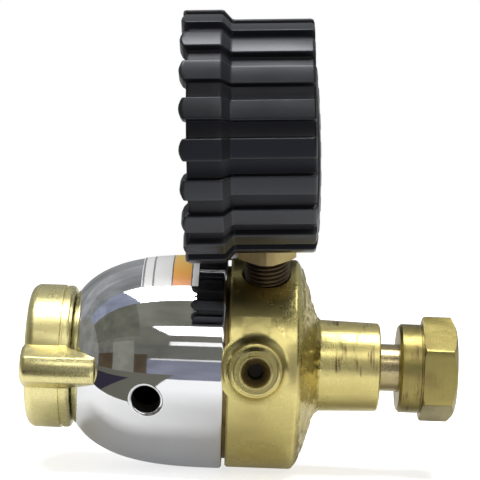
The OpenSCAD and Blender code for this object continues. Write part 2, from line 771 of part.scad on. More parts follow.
module gauge_bezel(side) color("silver") at_dial(side) {
    edge = 0.6;
    difference() {
        turned([[bezel_x, 0], [bezel_x, bezel_r - edge], [bezel_x + edge, bezel_r],
            [bezel_x + bezel_len, bezel_r], [bezel_x + bezel_len, 0]]);
        rod(bezel_x - through, bezel_x + bezel_lip_t + through, window_r - 0.6);
        rod(bezel_x + bezel_lip_t, case_front_x, case_r + 1.4);
        rod(case_front_x - touch, bezel_x + bezel_len + through, case_r + fixed_fit);
    }
}

module gauge_lens(side) color("lightcyan", 0.4) at_dial(side) {
    rod(lens_x, lens_x + lens_t, case_r + 1.3);
}

module gauge_dial(side) color("white") at_dial(side) {
    difference() {
        rod(dial_x, dial_x + dial_t, case_r - case_wall - apart);
        rod(dial_x - through, dial_x + through, 1.6);
        for (y = [-post_y, post_y])
            translate([0, y, post_top]) rod(dial_x - through, dial_x + through, dial_screw_r + fixed_fit);
    }
}

module gauge_dial_screws(side) color("gray") at_dial(side) {
    for (y = [-post_y, post_y])
        translate([0, y, post_top]) {
            rod(dial_x - dial_screw_r, dial_x, 2 * dial_screw_r);
            rod(dial_x - touch, dial_x + dial_t + screw_deep, dial_screw_r);
        }
}

zero_angle = -45;

module gauge_pointer(side) color("#161616") at_dial(side) {
    tail = 7;
    difference() {
        union() {
            plate_at(pointer_x, pointer_t) rotate(zero_angle)
                polygon([[pointer_len, -0.25], [pointer_len, 0.25], [0, 1.1], [-tail + 2, 0.7], [-tail, 1.4],
                    [-tail, -1.4], [-tail + 2, -0.7], [0, -1.1]]);
            rod(pointer_x - 0.4, pointer_x + pointer_t + 0.6, 2.4);
        }
        rod(pointer_x + pointer_t - touch, dial_x, shaft_r + fixed_fit);
    }
}

// a gear's outline: teeth with straight sides, thinned for backlash
function gear_points(teeth, pitch_r, from, count) =
    [for (k = [0:count - 1]) let (c = from + 360 / teeth * k, thick = 0.36 * 360 / teeth,
            root = pitch_r - 1.25 * gear_module, tip = pitch_r + 0.9 * gear_module)
        for (p = [[root, -1.3], [tip, -0.45], [tip, 0.45], [root, 1.3]])
            [p[0] * cos(c + p[1] * thick / 2), p[0] * sin(c + p[1] * thick / 2)]];

pinion_r = gear_module * pinion_teeth / 2;
sector_r = gear_module * sector_teeth / 2;
gear_ratio = sector_teeth / pinion_teeth;
gear_apart = pinion_r + sector_r + 0.04;
sector_rest = pointer_sweep / gear_ratio / 2;
tail_len = 5;
pin_r_link = 0.4;

module gauge_pinion(side) color("gold") at_dial(side) {
    plate_at(sector_x, sector_t)
        polygon(gear_points(pinion_teeth, pinion_r, -90 + 180 / pinion_teeth, pinion_teeth));
    rod(pointer_x + pointer_t, low_plate_x + plate_thick, shaft_r);
}

module gauge_sector(side) color("gold") at_dial(side) {
    teeth = 12;
    pitch_angle = 360 / sector_teeth;
    rim = sector_r - 2.4;
    first_tooth = 90 + sector_rest - pitch_angle * (teeth - 1) / 2;
    last_tooth = first_tooth + pitch_angle * (teeth - 1);
    translate([0, 0, -gear_apart]) {
        plate_at(sector_x, sector_t) {
            polygon(concat(gear_points(sector_teeth, sector_r, first_tooth, teeth),
                [for (i = [0:12]) let (a = last_tooth + 1.5 - (last_tooth - first_tooth + 3) * i / 12)
                    [rim * cos(a), rim * sin(a)]]));
            rotate(90 + sector_rest) translate([0, -1.2]) square([rim + 0.6, 2.4]);
            rotate(90 + sector_rest) translate([-tail_len, -0.8]) square([tail_len, 1.6]);
            circle(r = 2);
            rotate(90 + sector_rest) translate([-tail_len, 0]) circle(r = 1.1, $fn = 32);
        }
        rod(top_plate_x, low_plate_x + plate_thick, shaft_r);
        rotate([90 + sector_rest, 0, 0])
            translate([0, -tail_len, 0]) rod(sector_x, link_x + link_t, pin_r_link);
    }
}

tail_at = [tail_len * sin(sector_rest), -gear_apart - tail_len * cos(sector_rest)];
tip_at = [-bourdon_r, 2.7];

module gauge_link(side) color("silver") at_dial(side) {
    run = tip_at - tail_at;
    width = 1;
    plate_at(link_x, link_t) difference() {
        union() {
            translate(tail_at) rotate(atan2(run[1], run[0]))
                translate([0, -width / 2]) square([norm(run), width]);
            translate(tail_at) circle(r = 1, $fn = 32);
            translate(tip_at) circle(r = 1, $fn = 32);
        }
        translate(tail_at) circle(r = pin_r_link + slip, $fn = 32);
        translate(tip_at) circle(r = pin_r_link + slip, $fn = 32);
    }
}

module gauge_movement(side) color("gold") at_dial(side) {
    half = post_y + plate_edge_y;
    for (x = [top_plate_x, low_plate_x])
        plate_at(x, plate_thick) difference() {
            translate([-half, post_low - plate_edge_z])
                square([2 * half, post_top - post_low + 2 * plate_edge_z]);
            circle(r = shaft_r + slip, $fn = 32);
            translate([0, -gear_apart]) circle(r = shaft_r + slip, $fn = 32);
        }
    for (y = [-post_y, post_y]) {
        for (z = [post_top, post_low])
            translate([0, y, z]) rod(top_plate_x + plate_thick, low_plate_x, post_r);
        translate([0, y, post_top]) difference() {
            rod(dial_x + dial_t, top_plate_x, post_r);
            rod(dial_x, dial_x + dial_t + screw_deep + touch, dial_screw_r + fixed_fit);
        }
    }
}

module gauge_bourdon_tube(side) color("peru") at_dial(side) {
    tube_x = 1;
    half_wide = 3;
    half_thin = 1.2;
    start = -acos((block_half - 1) / bourdon_r);
    sweep = 180 - asin(2.7 / bourdon_r) - start;
    difference() {
        rotate([start + 90, 0, 0]) rotate([0, 90, 0]) rotate_extrude(angle = sweep)
            translate([bourdon_r, tube_x]) {
                square([2 * half_thin, 2 * (half_wide - half_thin)], center = true);
                for (y = [-1, 1]) translate([0, y * (half_wide - half_thin)]) circle(r = half_thin, $fn = 32);
            }
        translate([block_x - through, -block_half, -case_r])
            cube([block_back_x - block_x + 2 * through, 2 * block_half, case_r]);
    }
    translate([0, tip_at[0], tip_at[1]]) {
        translate([link_x + link_t + 0.4, -1.4, -2]) cube([tube_x - link_x - link_t + 1.6, 2.8, 4]);
        rod(link_x, link_x + link_t + 1, pin_r_link);
    }
}

module gauge_socket(side) color("goldenrod") at_dial(side) {
    hex_z = stem_hex_from - gauge_height;
    way_r = 1.5;
    root = 0.4;
    difference() {
        union() {
            translate([0, 0, port_bottom + touch - gauge_height])
                cylinder(h = stem_hex_from - port_bottom, r = pipe_r);
            translate([0, 0, hex_z]) rotate([0, 0, 30])
                cylinder(h = stem_hex_len, r = stem_hex_flats / sqrt(3), $fn = 6);
            translate([0, 0, hex_z + stem_hex_len - touch])
                cylinder(h = stem_collar_len + block_rise + touch + root, r = stem_collar_r);
            translate([block_x, -block_half, block_foot])
                cube([block_back_x - block_x, 2 * block_half, block_top - block_foot]);
        }
        translate([0, 0, port_bottom - gauge_height])
            cylinder(h = block_top - block_cap - port_bottom + gauge_height, r = way_r);
    }
}

// ---------------------------------------------------------------- the set

body();
bonnet();
bonnet_bushing();
slip_ring();
diaphragm();
diaphragm_plate();
thrust_button();
nozzle();
nozzle_washer();
valve_seat();
poppet();
poppet_spring();
adjusting_spring();
spring_button();
adjusting_screw();
knob();
knob_pin();
inlet_nipple();
inlet_filter();
filter_clip();
inlet_nut();
outlet_fitting();
gauge_boot("near");  // near_gauge_boot
gauge_case("near");  // near_gauge_case
gauge_bezel("near");  // near_gauge_bezel
gauge_lens("near");  // near_gauge_lens
gauge_dial("near");  // near_gauge_dial
gauge_dial_screws("near");  // near_gauge_dial_screws
gauge_pointer("near");  // near_gauge_pointer
gauge_pinion("near");  // near_gauge_pinion
gauge_sector("near");  // near_gauge_sector
gauge_link("near");  // near_gauge_link
gauge_movement("near");  // near_gauge_movement
gauge_bourdon_tube("near");  // near_gauge_bourdon_tube
gauge_socket("near");  // near_gauge_socket
gauge_boot("far");  // far_gauge_boot
gauge_case("far");  // far_gauge_case
gauge_bezel("far");  // far_gauge_bezel
gauge_lens("far");  // far_gauge_lens
gauge_dial("far");  // far_gauge_dial
gauge_dial_screws("far");  // far_gauge_dial_screws
gauge_pointer("far");  // far_gauge_pointer
gauge_pinion("far");  // far_gauge_pinion
gauge_sector("far");  // far_gauge_sector
gauge_link("far");  // far_gauge_link
gauge_movement("far");  // far_gauge_movement
gauge_bourdon_tube("far");  // far_gauge_bourdon_tube
gauge_socket("far");  // far_gauge_socket
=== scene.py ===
from math import atan, atan2, cos, degrees, hypot, pi, radians, sin, sqrt

import bmesh
import bpy
from mathutils import Matrix, Vector, noise as clouds


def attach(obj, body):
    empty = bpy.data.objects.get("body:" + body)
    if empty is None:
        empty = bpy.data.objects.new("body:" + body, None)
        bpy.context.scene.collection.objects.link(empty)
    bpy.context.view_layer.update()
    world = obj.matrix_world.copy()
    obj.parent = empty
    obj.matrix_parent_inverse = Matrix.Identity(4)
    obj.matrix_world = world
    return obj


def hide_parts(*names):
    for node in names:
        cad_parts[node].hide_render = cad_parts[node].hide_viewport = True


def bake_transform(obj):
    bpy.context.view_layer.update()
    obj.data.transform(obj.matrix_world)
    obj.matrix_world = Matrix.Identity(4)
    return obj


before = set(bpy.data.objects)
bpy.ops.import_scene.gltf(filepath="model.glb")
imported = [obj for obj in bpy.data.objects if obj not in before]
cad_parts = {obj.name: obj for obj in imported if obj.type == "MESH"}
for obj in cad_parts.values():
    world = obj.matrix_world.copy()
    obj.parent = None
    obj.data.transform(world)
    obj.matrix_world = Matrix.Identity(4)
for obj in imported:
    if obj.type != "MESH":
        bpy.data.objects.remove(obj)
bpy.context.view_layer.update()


# ---- Forged body ----
# The body is forged brass, machined on its rim and neck and buffed by hand. The bonnet screws onto a
# spigot on its left, the nipple into its neck, and three ports are drilled into its rim.

MM = 0.001


def feed(tree, node, values):
    """Sets a shader node's inputs, or links them where a value is another node's socket."""
    for key, value in values.items():
        if isinstance(value, bpy.types.NodeSocket):
            tree.links.new(value, node.inputs[key])
        else:
            node.inputs[key].default_value = value


def add(tree, kind, values=(), **settings):
    """A new shader node with its settings and inputs."""
    node = tree.nodes.new(kind)
    for key, value in settings.items():
        setattr(node, key, value)
    feed(tree, node, dict(values))
    return node


def calculate(tree, operation, *values):
    """The result of one step of arithmetic on sockets or numbers."""
    return add(tree, "ShaderNodeMath", enumerate(values), operation=operation).outputs[0]


def mixed(tree, share, first, second):
    """A colour that goes from the first to the second as the share rises."""
    both = add(tree, "ShaderNodeMix", {"Factor": share, "A": first, "B": second}, data_type="RGBA")
    return both.outputs["Result"]


def ramp(tree, value, start=0.0, end=1.0, low=0.0, high=1.0):
    """A value's straight ramp from low at start to high at end, level beyond them."""
    slope = add(tree, "ShaderNodeMapRange", {"Value": value, "From Min": start, "From Max": end,
                                             "To Min": low, "To Max": high})
    return slope.outputs["Result"]


def masked(tree, value, start, end, others=()):
    """A value's ramp from 0 at start to 1 at end, times any other masks."""
    result = ramp(tree, value, start, end)
    for other in others:
        result = calculate(tree, "MULTIPLY", result, other)
    return result


def place_on(tree):
    """The place on the piece itself, in metres."""
    return add(tree, "ShaderNodeTexCoord").outputs["Object"]


def noise(tree, where, scale, detail=3.0, stretch=(1, 1, 1), turn=(0, 0, 0)):
    """Cloudy noise in metres, its pattern stretched and turned."""
    lay = add(tree, "ShaderNodeMapping", {"Vector": where, "Rotation": turn, "Scale": stretch})
    cloud = add(tree, "ShaderNodeTexNoise", {"Vector": lay.outputs[0], "Scale": scale, "Detail": detail})
    return cloud.outputs["Fac"]


def sum_of(tree, *pairs):
    """The sum of (socket, weight) pairs."""
    total = 0.0
    for socket, weight in pairs:
        total = calculate(tree, "MULTIPLY_ADD", socket, weight, total)
    return total


FLOAT, COLOUR = "NodeSocketFloat", "NodeSocketColor"


def handled_metal_group():
    """Buffed metal: tarnish in clouds and spots, hairline scratches, lathe rings, nicks and soft swells."""
    tree = bpy.data.node_groups.new("handled_metal", "ShaderNodeTree")
    for label, kind, value in (
            ("Clean", COLOUR, (0.8, 0.6, 0.2, 1)), ("Dull", COLOUR, (0.4, 0.3, 0.1, 1)),
            ("Tarnish", FLOAT, 0.3), ("Smooth", FLOAT, 0.2), ("Rough", FLOAT, 0.4),
            ("Scratches", FLOAT, 0.5), ("Rings", FLOAT, 0.2)):
        tree.interface.new_socket(label, in_out="INPUT", socket_type=kind).default_value = value
    for label, kind in (("Color", COLOUR), ("Roughness", FLOAT), ("Height", FLOAT)):
        tree.interface.new_socket(label, in_out="OUTPUT", socket_type=kind)
    given = tree.nodes.new("NodeGroupInput").outputs
    where = place_on(tree)
    blotch = masked(tree, noise(tree, where, 70.0, 6.0), 0.46, 0.74)
    spots = masked(tree, noise(tree, where, 620.0, 2.0), 0.66, 0.72, [blotch])
    swell = noise(tree, where, 105.0, 1.0)
    ripple = noise(tree, where, 420.0, 2.0)
    rings = noise(tree, where, 60.0, 3.0, stretch=(42, 0.8, 0.8))
    hair = 0.0
    for turn, stretch, low in ((0.35, 30.0, 0.60), (-1.1, 38.0, 0.63), (1.7, 22.0, 0.64)):
        line = noise(tree, where, 130.0, 3.0, (stretch, 1.0, stretch), (turn, turn * 0.7, turn))
        hair = calculate(tree, "MAXIMUM", hair, masked(tree, line, low, low + 0.10))
    hair = calculate(tree, "MULTIPLY", hair, given["Scratches"])
    ringing = calculate(tree, "MULTIPLY", rings, given["Rings"])
    nick = add(tree, "ShaderNodeTexVoronoi", {"Vector": where, "Scale": 230.0, "Randomness": 1.0})
    nicks = masked(tree, nick.outputs["Distance"], 0.11, 0.0, [blotch])
    stain = sum_of(tree, (blotch, 0.75), (spots, 0.9), (nicks, 0.8), (hair, 0.25), (ringing, 0.3))
    share = calculate(tree, "MULTIPLY", stain, given["Tarnish"])
    grain = sum_of(tree, (ripple, 0.2), (share, 0.8), (hair, 0.4), (ringing, 0.3))
    feed(tree, tree.nodes.new("NodeGroupOutput"), {
        "Color": mixed(tree, share, given["Clean"], given["Dull"]),
        "Roughness": ramp(tree, grain, low=given["Smooth"], high=given["Rough"]),
        "Height": sum_of(tree, (hair, -0.35), (nicks, -0.9), (ripple, 0.45), (ringing, 0.35), (swell, 1.0))})
    return tree


HANDLED_METAL = handled_metal_group()


def bare_material(name):
    """A new material, its node tree and its Principled shader."""
    material = bpy.data.materials.new(name)
    material.use_nodes = True
    return material, material.node_tree, material.node_tree.nodes["Principled BSDF"]


def metal(name, clean, dull, tarnish, smooth, rough, scratches, rings, bump):
    """A bare metal with the handled finish."""
    material, tree, surface = bare_material(name)
    finish = add(tree, "ShaderNodeGroup", {
        "Clean": (*clean, 1), "Dull": (*dull, 1), "Tarnish": tarnish, "Smooth": smooth, "Rough": rough,
        "Scratches": scratches, "Rings": rings}, node_tree=HANDLED_METAL).outputs
    relief = add(tree, "ShaderNodeBump", {"Height": finish["Height"], "Strength": bump, "Distance": 0.0003})
    feed(tree, surface, {"Metallic": 1.0, "Base Color": finish["Color"], "Roughness": finish["Roughness"],
                         "Normal": relief.outputs["Normal"]})
    return material


def smooth_faces(mesh, sharp):
    """Shades a mesh smooth but for edges sharper than an angle in degrees."""
    mesh.polygons.foreach_set("use_smooth", [True] * len(mesh.polygons))
    mesh.set_sharp_from_angle(angle=radians(sharp))


def as_object(name, bm, sharp=35.0, place=None):
    """The bmesh as an object at the origin, smooth but for sharp edges, its mesh first put in place."""
    if place is not None:
        bmesh.ops.transform(bm, matrix=place, verts=bm.verts)
    mesh = bpy.data.meshes.new(name)
    bm.to_mesh(mesh)
    bm.free()
    smooth_faces(mesh, sharp)
    made = bpy.data.objects.new(name, mesh)
    bpy.context.scene.collection.objects.link(made)
    return made


def sweep(bm, line, axis, angle, steps, closed=False, merge=False, rise=0.0):
    """Joins a line of vertices by edges and sweeps it round an axis, with a rise along Z at each step."""
    edges = [bm.edges.new(pair) for pair in zip(line, line[1:])]
    if closed:
        edges.append(bm.edges.new((line[-1], line[0])))
    bmesh.ops.spin(bm, geom=line + edges, cent=(0, 0, 0), axis=axis, dvec=(0, 0, rise), angle=angle,
                   steps=steps, use_merge=merge, use_duplicate=False)


def full_turn(points, axis, steps, closed=False):
    """A bmesh of a line of points in millimetres, turned all the way round an axis through the origin."""
    bm = bmesh.new()
    line = [bm.verts.new([part * MM for part in point]) for point in points]
    sweep(bm, line, axis, 2 * pi, steps, closed, merge=True)
    bmesh.ops.remove_doubles(bm, verts=bm.verts, dist=1e-6)
    bmesh.ops.dissolve_degenerate(bm, dist=1e-7, edges=bm.edges)
    bmesh.ops.recalc_face_normals(bm, faces=bm.faces)
    return bm


def turned(outline, steps=144, closed=False):
    """A bmesh of (x, radius) points turned about the main axis."""
    return full_turn([(x, -r, 0) for x, r in outline], (1, 0, 0), steps, closed)


def arc(x, r, radius, start, end, steps):
    """(x, radius) points of an arc, angles in degrees from +x towards larger radius."""
    turns = [radians(start + (end - start) * i / steps) for i in range(steps + 1)]
    return [(x + radius * cos(t), r + radius * sin(t)) for t in turns]


def combine(piece, tool, operation):
    """Cuts a tool from a piece or joins it to the piece, and drops the tool."""
    step = piece.modifiers.new("combine", "BOOLEAN")
    step.object = tool
    step.operation = operation
    step.solver = "EXACT"
    bpy.context.view_layer.update()
    seen = piece.evaluated_get(bpy.context.evaluated_depsgraph_get())
    mesh = bpy.data.meshes.new_from_object(seen)
    piece.modifiers.clear()
    piece.data = mesh
    bpy.data.objects.remove(tool)
    return piece


def settle(piece, body, material, replaces=()):
    """Gives a new piece its material, body, slot and the nodes that it stands for."""
    piece.data.materials.clear()
    piece.data.materials.append(material)
    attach(piece, body)
    if replaces:
        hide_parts(*replaces)
    return piece


BRASS = metal("buffed_brass", (0.71, 0.615, 0.245), (0.42, 0.31, 0.13), 0.6, 0.24, 0.45, 0.6, 0.30, 0.42)
CAST_BRASS = metal("cast_brass", (0.55, 0.46, 0.15), (0.36, 0.27, 0.10), 0.8, 0.22, 0.45, 0.3, 0.0, 1.0)
# dark brass for the spigot and the ports' insides, old stain and painted shade together
STAIN_AND_SHADE_BRASS = metal("stained_and_shaded_brass", (0.30, 0.22, 0.10), (0.12, 0.08, 0.04), 0.9, 0.35, 0.55, 0.3, 0.3, 0.4)


def smudge(material, start, end, low, high, strength):
    """Old brown stains in streaks round a turned part, between two stations and two heights in metres."""
    tree = material.node_tree
    where = place_on(tree)
    spot = add(tree, "ShaderNodeSeparateXYZ", {"Vector": where})
    patch = masked(tree, noise(tree, where, 150.0, 4.0, stretch=(2.5, 0.9, 0.9)), 0.50, 0.66)
    fade = 0.003
    for axis, clear, full in (("X", start, start + fade), ("X", end, end - fade), ("Z", low, low + fade),
                              ("Z", high, high - fade)):
        patch = masked(tree, spot.outputs[axis], clear, full, [patch])
    streaks = noise(tree, where, 160.0, 3.0, stretch=(9.0, 0.5, 0.5))
    patch = masked(tree, streaks, 0.40, 0.60, [patch, strength])
    surface = tree.nodes["Principled BSDF"]
    clean = surface.inputs["Base Color"].links[0].from_socket
    feed(tree, surface, {"Base Color": mixed(tree, patch, clean, (0.15, 0.09, 0.045, 1))})


smudge(BRASS, -0.041, -0.0235, -0.003, 0.0165, 1.4)

hexagon_len, collar_len, shank_len = 10.3, 7.2, 6.0
neck_len, cone_len, rim_len, spigot_len = 18.6, 7.4, 20.4, 10.6
nut_back = -(hexagon_len + collar_len)
neck_end = nut_back - shank_len
neck_root = neck_end - neck_len
rim = neck_root - cone_len
face = rim - rim_len
spigot_end = face - spigot_len
body_r, spigot_r, port_r, neck_r, socket_depth = 32.3, 29.7, 6.9, 13.6, 12
chamber_depth, chamber_r, seat_depth, mouth_r = 22, 20, 9, 24.5
body_outline = [(spigot_end + chamber_depth, 0), (spigot_end + chamber_depth, chamber_r),
                (spigot_end + seat_depth, chamber_r), (spigot_end + seat_depth, mouth_r),
                (spigot_end, mouth_r), (spigot_end, spigot_r - 0.5), (spigot_end + 0.5, spigot_r),
                (face, spigot_r), (face, body_r - 0.6), (face + 0.6, body_r)]
body_outline += arc(rim - 0.9, body_r - 1.5, 1.5, 90, 30, 4)
cone_steps = 20
for i in range(1, cone_steps + 1):
    down = i / cone_steps
    body_outline.append((rim + 0.4 + 5.4 * down, body_r - 0.75 - 15.25 * down ** 1.25))
body_outline += arc(neck_root + 0.9, neck_r + 2.7, 2.2, 195, 262, 5)
body_outline += [(neck_end - 0.5, neck_r), (neck_end, neck_r - 0.5), (neck_end, port_r),
                 (neck_end - socket_depth, port_r), (neck_end - socket_depth, 0)]
body_bm = turned(body_outline, steps=224)


def roughen(bm, start, end, lump_high, grain_high):
    """Leaves the back of the forging as it came from the die: low lumps and scale."""
    bm.normal_update()
    moves = []
    for v in bm.verts:
        x = v.co.x / MM
        if start < x < end:
            fade = min(1.0, (x - start) / 0.8, (end - x) / 0.8)
            lump = max(0.0, min(1.0, (clouds.noise(v.co * 420) + 0.02) * 4.5))
            grain = clouds.noise(v.co * 1300)
            moves.append((v, v.normal * ((lump_high * lump + grain_high * grain) * fade * MM)))
    for v, move in moves:
        v.co += move


roughen(body_bm, rim + 0.7, neck_root + 0.4, 0.30, 0.12)
body = as_object("forged_body", body_bm)


def rotation(angle, axis):
    """A rotation by degrees about an axis through the origin."""
    return Matrix.Rotation(radians(angle), 4, axis)


def upright(x, lean_degrees):
    """A frame on the main axis at x whose Z axis leans from the vertical towards -Y."""
    return Matrix.Translation((x * MM, 0, 0)) @ rotation(lean_degrees, "X")


def spun(outline, place, steps=96):
    """A closed bmesh of (radius, height) points turned about a matrix's own Z axis."""
    bm = full_turn([(r, 0, z) for r, z in outline], (0, 0, 1), steps)
    bmesh.ops.transform(bm, matrix=place, verts=bm.verts)
    return bm


outlet_x, boss_r, boss_face, boss_skirt = face + 8.2, 8.1, 35.0, 3.0


def boss_flare():
    """The outlet's boss, whose foot flares out and follows the round rim on all sides."""
    skirt_line = [(boss_r + boss_skirt * (1 - cos(t)), boss_skirt * (1 - sin(t)))
                  for t in (radians(9 * i) for i in range(11))]
    outline = [(0, boss_face), (boss_r - 0.9, boss_face), (boss_r - 0.25, boss_face - 0.25),
               (boss_r, boss_face - 0.9)]
    outline += [(r, 20 + rise) for r, rise in skirt_line] + [(boss_r + boss_skirt, 18), (0, 18)]
    bm = spun(outline, Matrix.Identity(4))
    for v in bm.verts:
        rise = v.co.z / MM - 20
        if -0.5 < rise < boss_skirt + 0.5:
            rim_height = sqrt(body_r ** 2 - (v.co.y / MM) ** 2)
            v.co.z = (rim_height + min(rise - 0.08, 2.2)) * MM
    return as_object("boss_flare", bm, place=upright(outlet_x, 90))


def filed_flat(lean_degrees, wide, deep):
    """A tool that files a small flat across the rim, in line with the outlet."""
    bm = bmesh.new()
    above = Matrix.Translation((0, 0, (body_r - deep + 2) * MM))
    bmesh.ops.create_cube(bm, size=MM, matrix=upright(outlet_x, lean_degrees) @ above
                          @ Matrix.Diagonal((wide, 20, 4, 1)))
    return as_object("filed_flat", bm)


combine(body, filed_flat(90 - 21.6, 8.3, 0.22), "DIFFERENCE")
combine(body, filed_flat(90 + 36, 8.6, 0.10), "DIFFERENCE")
combine(body, boss_flare(), "UNION")


def plug(place, start, end, radius, flare=0.0):
    """A round tool along a matrix's own Z axis between two heights, wider at its end by a flare."""
    bm = bmesh.new()
    bmesh.ops.create_cone(bm, cap_ends=True, segments=72, radius1=radius * MM,
                          radius2=(radius + flare) * MM, depth=(end - start) * MM)
    bmesh.ops.translate(bm, verts=bm.verts, vec=(0, 0, (start + end) / 2 * MM))
    return as_object("plug", bm, place=place)


gauge_x, lean, near_rake, far_rake, far_twist = face + 10.9, 30.0, 3.0, -1.0, 7.0


def gauge_place(side):
    """The frame of a gauge: Z along its stem from the main axis, dial towards -X."""
    near = side == "near"
    rim_point = Matrix.Translation((0, 0, body_r * MM))
    twist = rotation(0 if near else -far_twist, "Z")
    tilt = rotation(-near_rake if near else -far_rake, "Y")
    return upright(gauge_x, lean if near else -lean) @ rim_point @ twist @ tilt @ rim_point.inverted()


outlet_place = upright(outlet_x, 90)
outlet_floor, port_floor, outside = 25.5, 22.8, 40
combine(body, plug(outlet_place, outlet_floor, outside, port_r), "DIFFERENCE")
for side in ("near", "far"):
    combine(body, plug(gauge_place(side), port_floor, outside, port_r), "DIFFERENCE")
    combine(body, plug(gauge_place(side), body_r - 0.75, body_r + 1.25, port_r - 0.1, 1.7), "DIFFERENCE")
smooth_faces(body.data, 30)
settle(body, "regulator", BRASS, ["body"])


def refinish(piece, material, chosen, place=Matrix()):
    """Gives another material to the facets whose centre, in a frame's millimetres, passes a test."""
    if material.name not in piece.data.materials:
        piece.data.materials.append(material)
    index = piece.data.materials.find(material.name)
    into_place = place.inverted()
    for facet in piece.data.polygons:
        if chosen(into_place @ facet.center / MM):
            facet.material_index = index


def on_cone(spot):
    """Whether a spot lies on the cone behind the rim, which is left as forged."""
    return rim + 0.9 < spot.x < neck_root + 0.2 and hypot(spot.y, spot.z) > 14


def in_recess(spot):
    """Whether a spot lies on the spigot or inside a port, where old stain and a painted shade darken the
    brass.
    """
    away = hypot(spot.y, spot.z)
    for place, reach in ((gauge_place("near"), 1.7), (gauge_place("far"), 1.7), (outlet_place, 0.1)):
        inner = place.inverted() @ (spot * MM) / MM
        if inner.z > 22 and hypot(inner.x, inner.y) < port_r + reach and away < body_r - 0.1:
            return True
    return spigot_end - 0.1 < spot.x < face + 0.05 and away < spigot_r + 1.5


refinish(body, CAST_BRASS, on_cone)
# the spigot and the ports' insides take old stain and painted shade
refinish(body, STAIN_AND_SHADE_BRASS, in_recess)


# ---- Inlet nipple and nut ----
# The nipple is turned brass, screwed into the neck, and its head is caught inside the nut. The nut
# has a round collar and a hexagon whose corners are turned off at both ends.

INLET_BRASS = metal("turned_inlet_brass", (0.37, 0.315, 0.105), (0.19, 0.125, 0.06),
                    0.9, 0.24, 0.48, 0.9, 0.9, 0.4)
NIPPLE_BRASS = metal("polished_nipple_brass", (0.52, 0.44, 0.24), (0.24, 0.15, 0.08),
                     0.9, 0.14, 0.34, 0.6, 1.0, 0.4)
smudge(INLET_BRASS, -0.019, -0.009, -0.020, 0.020, 1.0)

hex_back, nipple_r, collar_r, hex_flats = -hexagon_len, 7.3, 13.7, 28.6
head_back, head_front, head_r, head_len, tip_r, inlet_bore = -14.3, -12.3, 9.6, 4, 3.4, 2.2
nipple_tail, bore_end = neck_end - socket_depth, neck_end - 5.4
nipple_outline = [(nipple_tail, 0), (nipple_tail, 6.3), (nipple_tail + 0.6, 6.85), (neck_end, 6.85),
                  (neck_end, nipple_r - 0.5), (neck_end + 0.5, nipple_r), (head_back, nipple_r),
                  (head_back, head_r), (head_front, head_r)]
for i in range(1, 11):
    t = radians(9 * i)
    nipple_outline.append((head_front + head_len * sin(t), tip_r + (head_r - tip_r) * cos(t)))
nipple_outline += [(head_front + head_len, inlet_bore), (bore_end, inlet_bore), (bore_end, 0)]
nipple_bm = turned(nipple_outline, steps=96)


def soften(bm, edges, width, segments):
    """Bevels edges by a width in millimetres."""
    bmesh.ops.bevel(bm, geom=edges, offset=width * MM, offset_type="OFFSET", segments=segments, profile=0.5,
                    affect="EDGES", material=-1, clamp_overlap=True)


soften(nipple_bm, [e for e in nipple_bm.edges if len(e.link_faces) == 2
                   and e.calc_face_angle() > radians(24)], 0.15, 3)
nipple = as_object("inlet_nipple_turned", nipple_bm)
settle(nipple, "regulator", NIPPLE_BRASS, ["inlet_nipple"])

corner_r = hex_flats / sqrt(3)
thread_r, thread_deep = 10.4, 8


def hexagon_bar(start, end, flats, turn):
    """A hexagonal bar along the main axis, bevelled a little along its corners."""
    bm = bmesh.new()
    corner = flats / sqrt(3) * MM
    bmesh.ops.create_cone(bm, cap_ends=True, segments=6, radius1=corner, radius2=corner,
                          depth=(end - start) * MM)
    middle = Matrix.Translation(((start + end) / 2 * MM, 0, 0))
    spin_to_x = rotation(turn, "X") @ rotation(90, "Y")
    bmesh.ops.transform(bm, matrix=middle @ spin_to_x, verts=bm.verts)
    soften(bm, [e for e in bm.edges if abs((e.verts[0].co - e.verts[1].co).x) > 1e-4], 0.25, 2)
    return as_object("hexagon_bar", bm)


nut = hexagon_bar(hex_back, 0, hex_flats, 97)
turned_off = [(hex_back, 0), (hex_back, corner_r - 0.9), (hex_back + 0.5, corner_r - 0.05),
              (-1.7, corner_r + 0.1), (0, corner_r - 2.9), (0, 0)]
combine(nut, as_object("turned_off", turned(turned_off, steps=144)), "INTERSECT")
collar = [(nut_back, 0), (nut_back, collar_r - 0.8), (nut_back + 0.8, collar_r), (hex_back - 0.7, collar_r),
          (hex_back - 0.5, collar_r - 0.25), (hex_back + 0.4, collar_r - 0.25), (hex_back + 0.4, 0)]
combine(nut, as_object("collar", turned(collar, steps=144)), "UNION")
bore = [(nut_back - 1, 0), (nut_back - 1, nipple_r + 0.08), (head_back - 0.3, nipple_r + 0.08),
        (head_back - 0.3, thread_r + 0.5), (-thread_deep, thread_r + 0.5), (-thread_deep, thread_r),
        (-0.8, thread_r), (0.4, thread_r + 1.2), (0.4, 0)]
combine(nut, as_object("bore", turned(bore, steps=144)), "DIFFERENCE")
nut.name = "inlet_nut_shaped"
nut.data.set_sharp_from_angle(angle=radians(24))
settle(nut, "inlet_nut", INLET_BRASS, ["inlet_nut"])


# ---- Outlet fitting ----
# A short turned brass fitting with a male thread and an inner cone for a hose's nipple. It is screwed
# into the boss and its bore leads into the body.

def thread(name, place, start, turns, pitch, root_r, tip_r):
    """One unbroken screw thread along a matrix's own Z axis, its foot sunk in the shank."""
    bm = bmesh.new()
    ridge = [(root_r - 0.3, 0.05), (root_r, 0.1), (tip_r, 0.43), (tip_r, 0.57), (root_r, 0.9),
             (root_r - 0.3, 0.95)]
    line = [bm.verts.new((r * MM, 0, (start + z * pitch) * MM)) for r, z in ridge]
    steps = 48
    sweep(bm, line, (0, 0, 1), 2 * pi * turns, steps * turns, closed=True, rise=pitch / steps * MM)
    bmesh.ops.holes_fill(bm, edges=[e for e in bm.edges if e.is_boundary])
    bmesh.ops.recalc_face_normals(bm, faces=bm.faces)
    return as_object(name, bm, 25, place)
